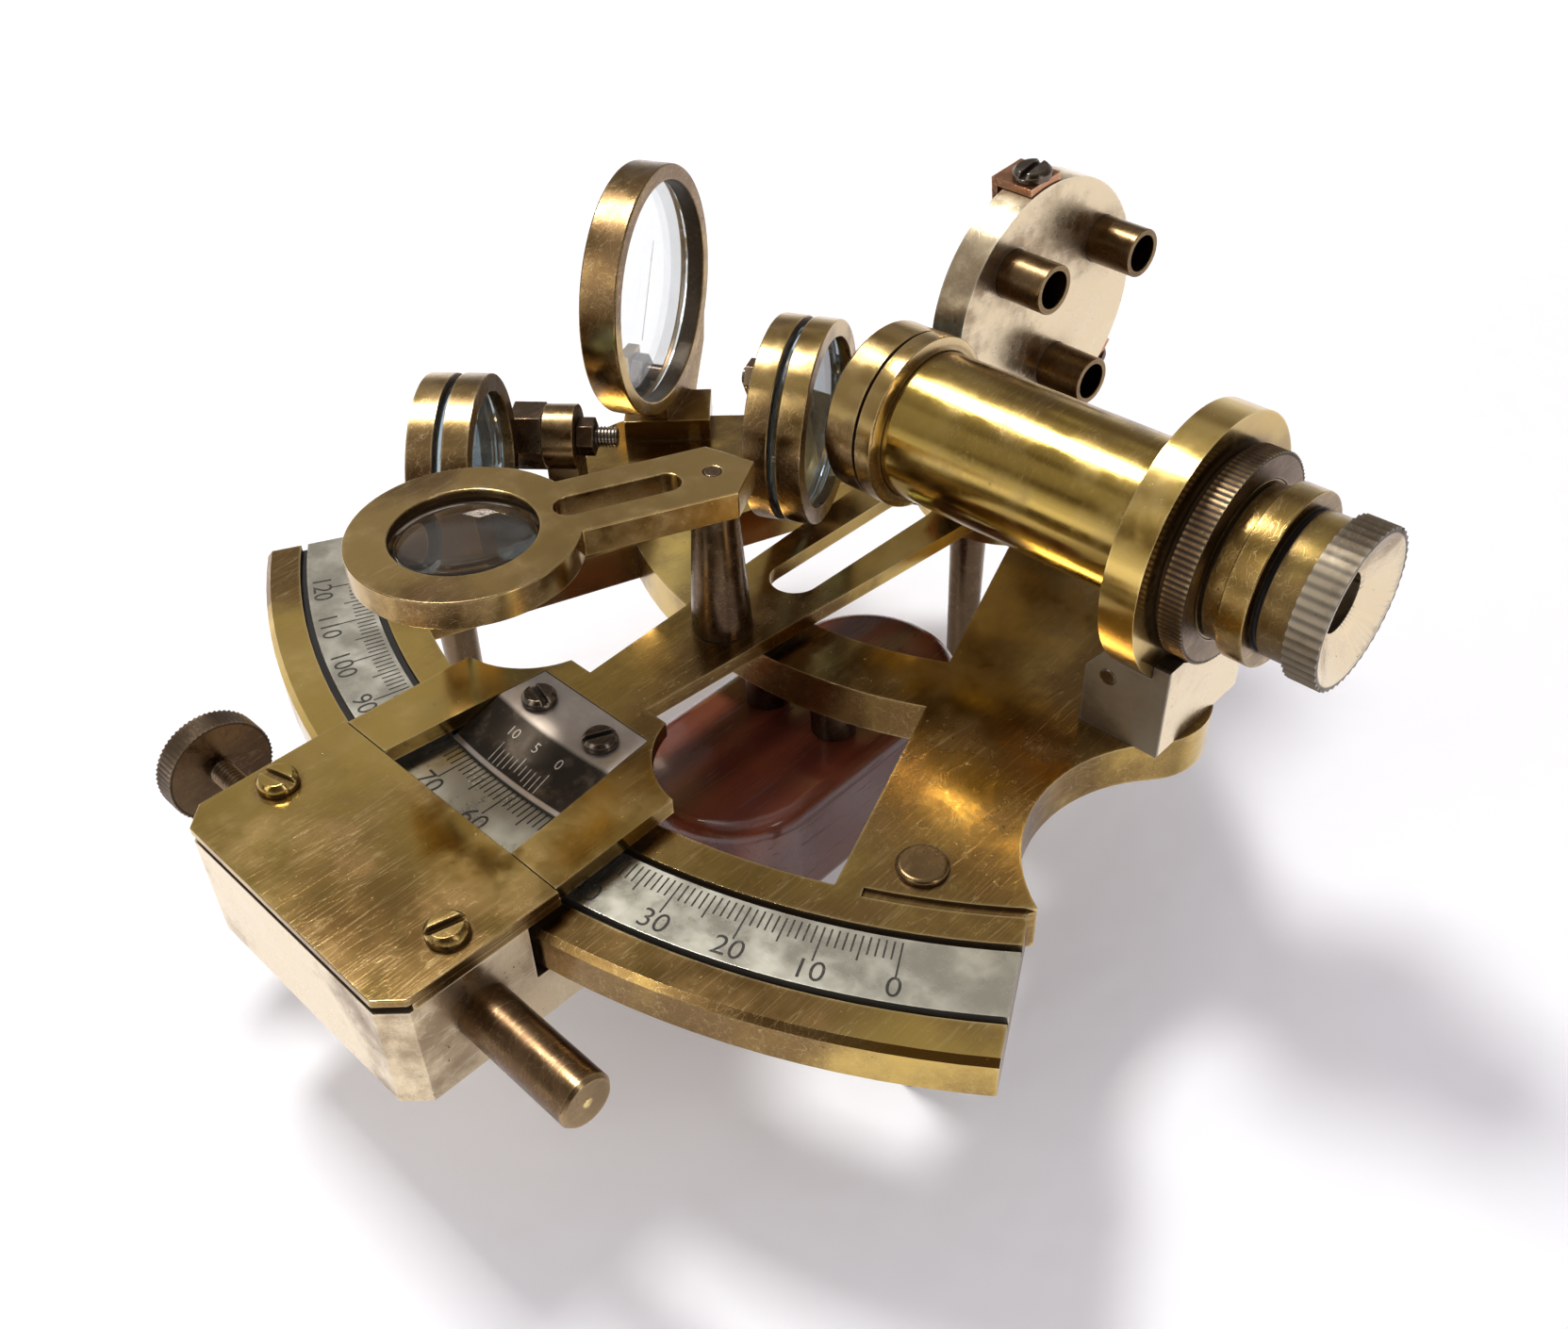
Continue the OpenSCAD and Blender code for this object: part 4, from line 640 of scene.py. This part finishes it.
vernierMarks = dict(count=11, step=0.70, wide=0.11, deep=0.06, long=2.375, short=1.805, end=79.4, markUp=0.03,
                    numberOut=75.9, numberSide=3.5, numberHigh=1.15, numberWeight=-0.014, numberUp=0.035)
vernierSlope = dict(top=2.8, start=74.0, fall=2.3, run=5.8)


def onSlope(side, out, lift):
    down = vernierSlope["top"] - (out - vernierSlope["start"]) * vernierSlope["fall"] / vernierSlope["run"]
    tilt = math.atan2(vernierSlope["fall"], vernierSlope["run"])
    return onArm(side, out, down + lift) @ Matrix.Rotation(tilt, 4, "X")


marks = []
for step in range(vernierMarks["count"]):
    long = vernierMarks["long" if step % 5 == 0 else "short"]
    side = (step - (vernierMarks["count"] - 1) / 2) * vernierMarks["step"]
    mark = cutMark(vernierMarks["wide"], long, vernierMarks["deep"])
    settle(mark, onSlope(side, vernierMarks["end"] - long / 2, vernierMarks["markUp"]))
    marks.append(mark)
for text, side in (("10", -1), ("5", 0), ("0", 1)):
    figure = number(text, vernierMarks["numberHigh"], vernierMarks["numberWeight"])
    place = (side * vernierMarks["numberSide"], vernierMarks["numberOut"], vernierMarks["numberUp"])
    settle(figure, onSlope(*place))
    marks.append(figure)
wear(merged("vernierDivisions", marks), finishes["paleEngraving"], "index_arm_set")
print("vernier divided")


# threads

def thread(name, size):
    core, crest, pitch = size["core"], size["crest"], size["pitch"]
    bpy.ops.mesh.primitive_circle_add(vertices=4, radius=pitch / 2 * mm, rotation=(quarter, 0, 0),
                                      location=(core * mm, 0, pitch / 2 * mm))
    rod = bpy.context.object
    rod.name = name
    bpy.ops.object.transform_apply(location=True, rotation=True, scale=True)
    editPart(rod, "VERT", lambda vertex: vertex.co.x < (core - pitch / 4) * mm)
    bpy.ops.mesh.delete(type="VERT")
    bpy.ops.mesh.select_all(action="SELECT")
    bpy.ops.transform.resize(value=((crest - core) / (pitch / 2), 1, 1), center_override=(core * mm, 0, 0))
    bpy.ops.object.mode_set(mode="OBJECT")
    applied(rod, "SCREW", axis="Z", angle=2 * math.pi, screw_offset=pitch * mm, steps=22, render_steps=22,
            iterations=round(size["length"] / pitch) - 1, use_merge_vertices=True, merge_threshold=closeBy)
    editWhole(rod)
    bpy.ops.mesh.fill_holes(sides=0)
    bpy.ops.mesh.select_all(action="SELECT")
    bpy.ops.mesh.remove_doubles(threshold=closeBy)
    bpy.ops.mesh.normals_make_consistent(inside=False)
    bpy.ops.object.mode_set(mode="OBJECT")
    bpy.ops.object.shade_smooth_by_angle(angle=math.radians(25))
    return rod


tangent = dict(core=1.05, crest=1.29, pitch=0.5, length=26.65, tail=-30.7)
rod = thread("tangentThread", tangent)
settle(rod, onArm(tangent["tail"], *tangentLine) @ Matrix.Rotation(quarter, 4, "Y"))
wear(rod, finishes["bronze"], "tangent")
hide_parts("tangent_screw")

bolt = dict(core=0.95, crest=1.27, pitch=0.4, length=2.8, hinge=(-39.4, 48.3, 10), toward=39, start=11.3)
rod = thread("horizonBoltThread", bolt)
settle(rod, onFrame(*bolt["hinge"], math.radians(bolt["toward"])) @ Matrix.Rotation(quarter, 4, "Y")
       @ Matrix.Translation((0, 0, bolt["start"] * mm)))
wear(rod, finishes["steel"], "base")
print("threads cut")


# glass that bulges, and small fittings

lens = dict(place=(-10.01, 73.31, 20.2), radius=7.6, bulge=1.0, rimFrom=0.94, rimThin=0.8)
bpy.ops.mesh.primitive_uv_sphere_add(segments=72, ring_count=36, radius=1)
glass = bpy.context.object
glass.name = "magnifierGlass"
glass.scale = (lens["radius"] * mm, lens["radius"] * mm, lens["bulge"] * mm)
bpy.ops.object.transform_apply(scale=True)
rimStart = lens["radius"] * lens["rimFrom"] * mm
editPart(glass, "FACE", lambda face: math.hypot(face.center.x, face.center.y) > rimStart)
bpy.ops.transform.resize(value=(1, 1, lens["rimThin"]), center_override=(0, 0, 0))
bpy.ops.object.mode_set(mode="OBJECT")
settle(glass, onArm(*lens["place"]))
bpy.ops.object.shade_smooth()
wear(glass, finishes["lensGlass"], "magnifier")
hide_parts("magnifier_lens")

dot = dict(side=30.75, radius=0.5, crown=0.35, foot=0.3)
bpy.ops.mesh.primitive_uv_sphere_add(segments=24, ring_count=12, radius=dot["radius"] * mm)
pip = bpy.context.object
pip.name = "barrelPip"
editPart(pip, "FACE", lambda face: face.center.z < 0)
bpy.ops.transform.resize(value=(1, 1, dot["foot"]), center_override=(0, 0, 0))
bpy.ops.object.mode_set(mode="OBJECT")
settle(pip, onArm(dot["side"], *tangentLine) @ Matrix.Rotation(quarter, 4, "Y")
       @ Matrix.Diagonal((1, 1, dot["crown"], 1)))
bpy.ops.object.shade_smooth()
wear(pip, finishes["turnedBrass"], "index_arm_set")

silverLine = dict(wide=0.22, length=12, deep=0.03, off=0.03, turn=60)
line = cutMark(silverLine["wide"], silverLine["length"], silverLine["deep"])
line.name = "silveringLine"
settle(line, onFrame(*horizonMirror["centre"], math.radians(horizonMirror["az"]))
       @ Matrix.Rotation(quarter, 4, "Y") @ Matrix.Translation((0, 0, silverLine["off"] * mm))
       @ Matrix.Rotation(math.radians(silverLine["turn"]), 4, "Z"))
wear(line, finishes["paleEngraving"], "base")
print("glass and fittings placed")


# floor, world and lamps

# Lift is how much the floor glows to a ray that looks at it, and farLift what is added far away, in metres.
floorLook = dict(size=3.0, colour=(0.86, 0.86, 0.865), dimple=230, smooth=0.6, strength=0.35, depth=0.0006,
                 lift=0.16, near=0.10, far=0.55, farLift=0.50)
bpy.ops.mesh.primitive_plane_add(size=floorLook["size"])
floor = bpy.context.object
floor.name = "floor"
finish, s = newFinish("floorFoam")
cell = s.add("ShaderNodeTexVoronoi", {"feature": "SMOOTH_F1"},
             {"Vector": s.spot(), "Scale": floorLook["dimple"], "Smoothness": floorLook["smooth"]}, "Distance")
dimples = s.bump(cell * -1, floorLook["strength"], floorLook["depth"])
shader = s.add("ShaderNodeBsdfDiffuse", {}, {"Color": floorLook["colour"], "Normal": dimples})
x, y, z = s.axes(s.here())
away = s.band(s.ring(x, y, 0, 0), floorLook["near"], floorLook["far"])
strength = floorLook["lift"] + away * floorLook["farLift"]
glow = s.add("ShaderNodeEmission", {}, {"Color": (1, 1, 1), "Strength": strength})
both = s.add("ShaderNodeAddShader", {}, {0: shader, 1: glow})
seen = s.seenBy("Is Camera Ray", "Is Glossy Ray", "Is Transmission Ray")
surface = s.add("ShaderNodeMixShader", {}, {0: seen, 1: shader, 2: both})
s.add("ShaderNodeOutputMaterial", {}, {"Surface": surface})
floor.data.materials.append(finish)

# The room that metal mirrors: a level, a bright skyline and ceiling, a dark near side and soft patches.
whiteRoom = dict(dark=(0.085, 0.055, 0.035), light=(1.0, 0.99, 0.97), plain=(0.41, 0.38, 0.425),
                 level=0.27, skyline=0.58, overhead=0.14, nearSide=0.36, nearWay=(0.59, -0.81),
                 patches=0.32, patchScale=2.4)
world = bpy.data.worlds.new("whiteRoom")
scene.world = world
world.use_nodes = True
s = Surface(world.node_tree)
toward = s.here("Generated")
x, y, z = s.axes(toward)
nearX, nearY = whiteRoom["nearWay"]
nearSide = s.band(x * nearX + y * nearY, 0.00, 0.80) * s.band(z, 0.04, 0.45)
skyline = 1 - s.band(z, 0.02, 0.34)
overhead = s.band(z, 0.66, 0.97)
patches = s.band(s.noise(toward, whiteRoom["patchScale"], 3, 0.5), 0.44, 0.58) - 0.5
room = (whiteRoom["level"] + skyline * whiteRoom["skyline"] + overhead * whiteRoom["overhead"]
        - nearSide * whiteRoom["nearSide"] + patches * whiteRoom["patches"])
mirrored = s.blend(whiteRoom["dark"], whiteRoom["light"], room)
colour = s.blend(whiteRoom["plain"], mirrored, s.add("ShaderNodeLightPath", {}, {}, "Is Glossy Ray"))
colour = s.blend(colour, (1, 1, 1), s.seenBy("Is Camera Ray", "Is Transmission Ray"))
background = s.add("ShaderNodeBackground", {}, {"Color": colour, "Strength": 1.0})
s.add("ShaderNodeOutputWorld", {}, {"Surface": background})

lamps = {   # azimuth and height in degrees, distance and sides in metres, watts
    "windowLamp": dict(az=184, height=66, away=0.60, sides=(0.15, 0.12), watts=2.6),
    "leftLamp": dict(az=262, height=34, away=0.60, sides=(0.16, 0.40), watts=0.5),
    "rightLamp": dict(az=0, height=28, away=0.65, sides=(0.10, 0.40), watts=0.5),
}
middle = Vector((0, -0.03, 0.035))
for name, lamp in lamps.items():
    az, height = math.radians(lamp["az"]), math.radians(lamp["height"])
    away = Vector((math.cos(az) * math.cos(height), math.sin(az) * math.cos(height), math.sin(height)))
    turn = away.to_track_quat("Z", "Y").to_euler()
    bpy.ops.object.light_add(type="AREA", location=middle + away * lamp["away"], rotation=turn)
    light = bpy.context.object
    light.name = name
    light.data.shape = "RECTANGLE"
    light.data.size, light.data.size_y = lamp["sides"]
    light.data.energy = lamp["watts"]
print("floor, world and lamps set")
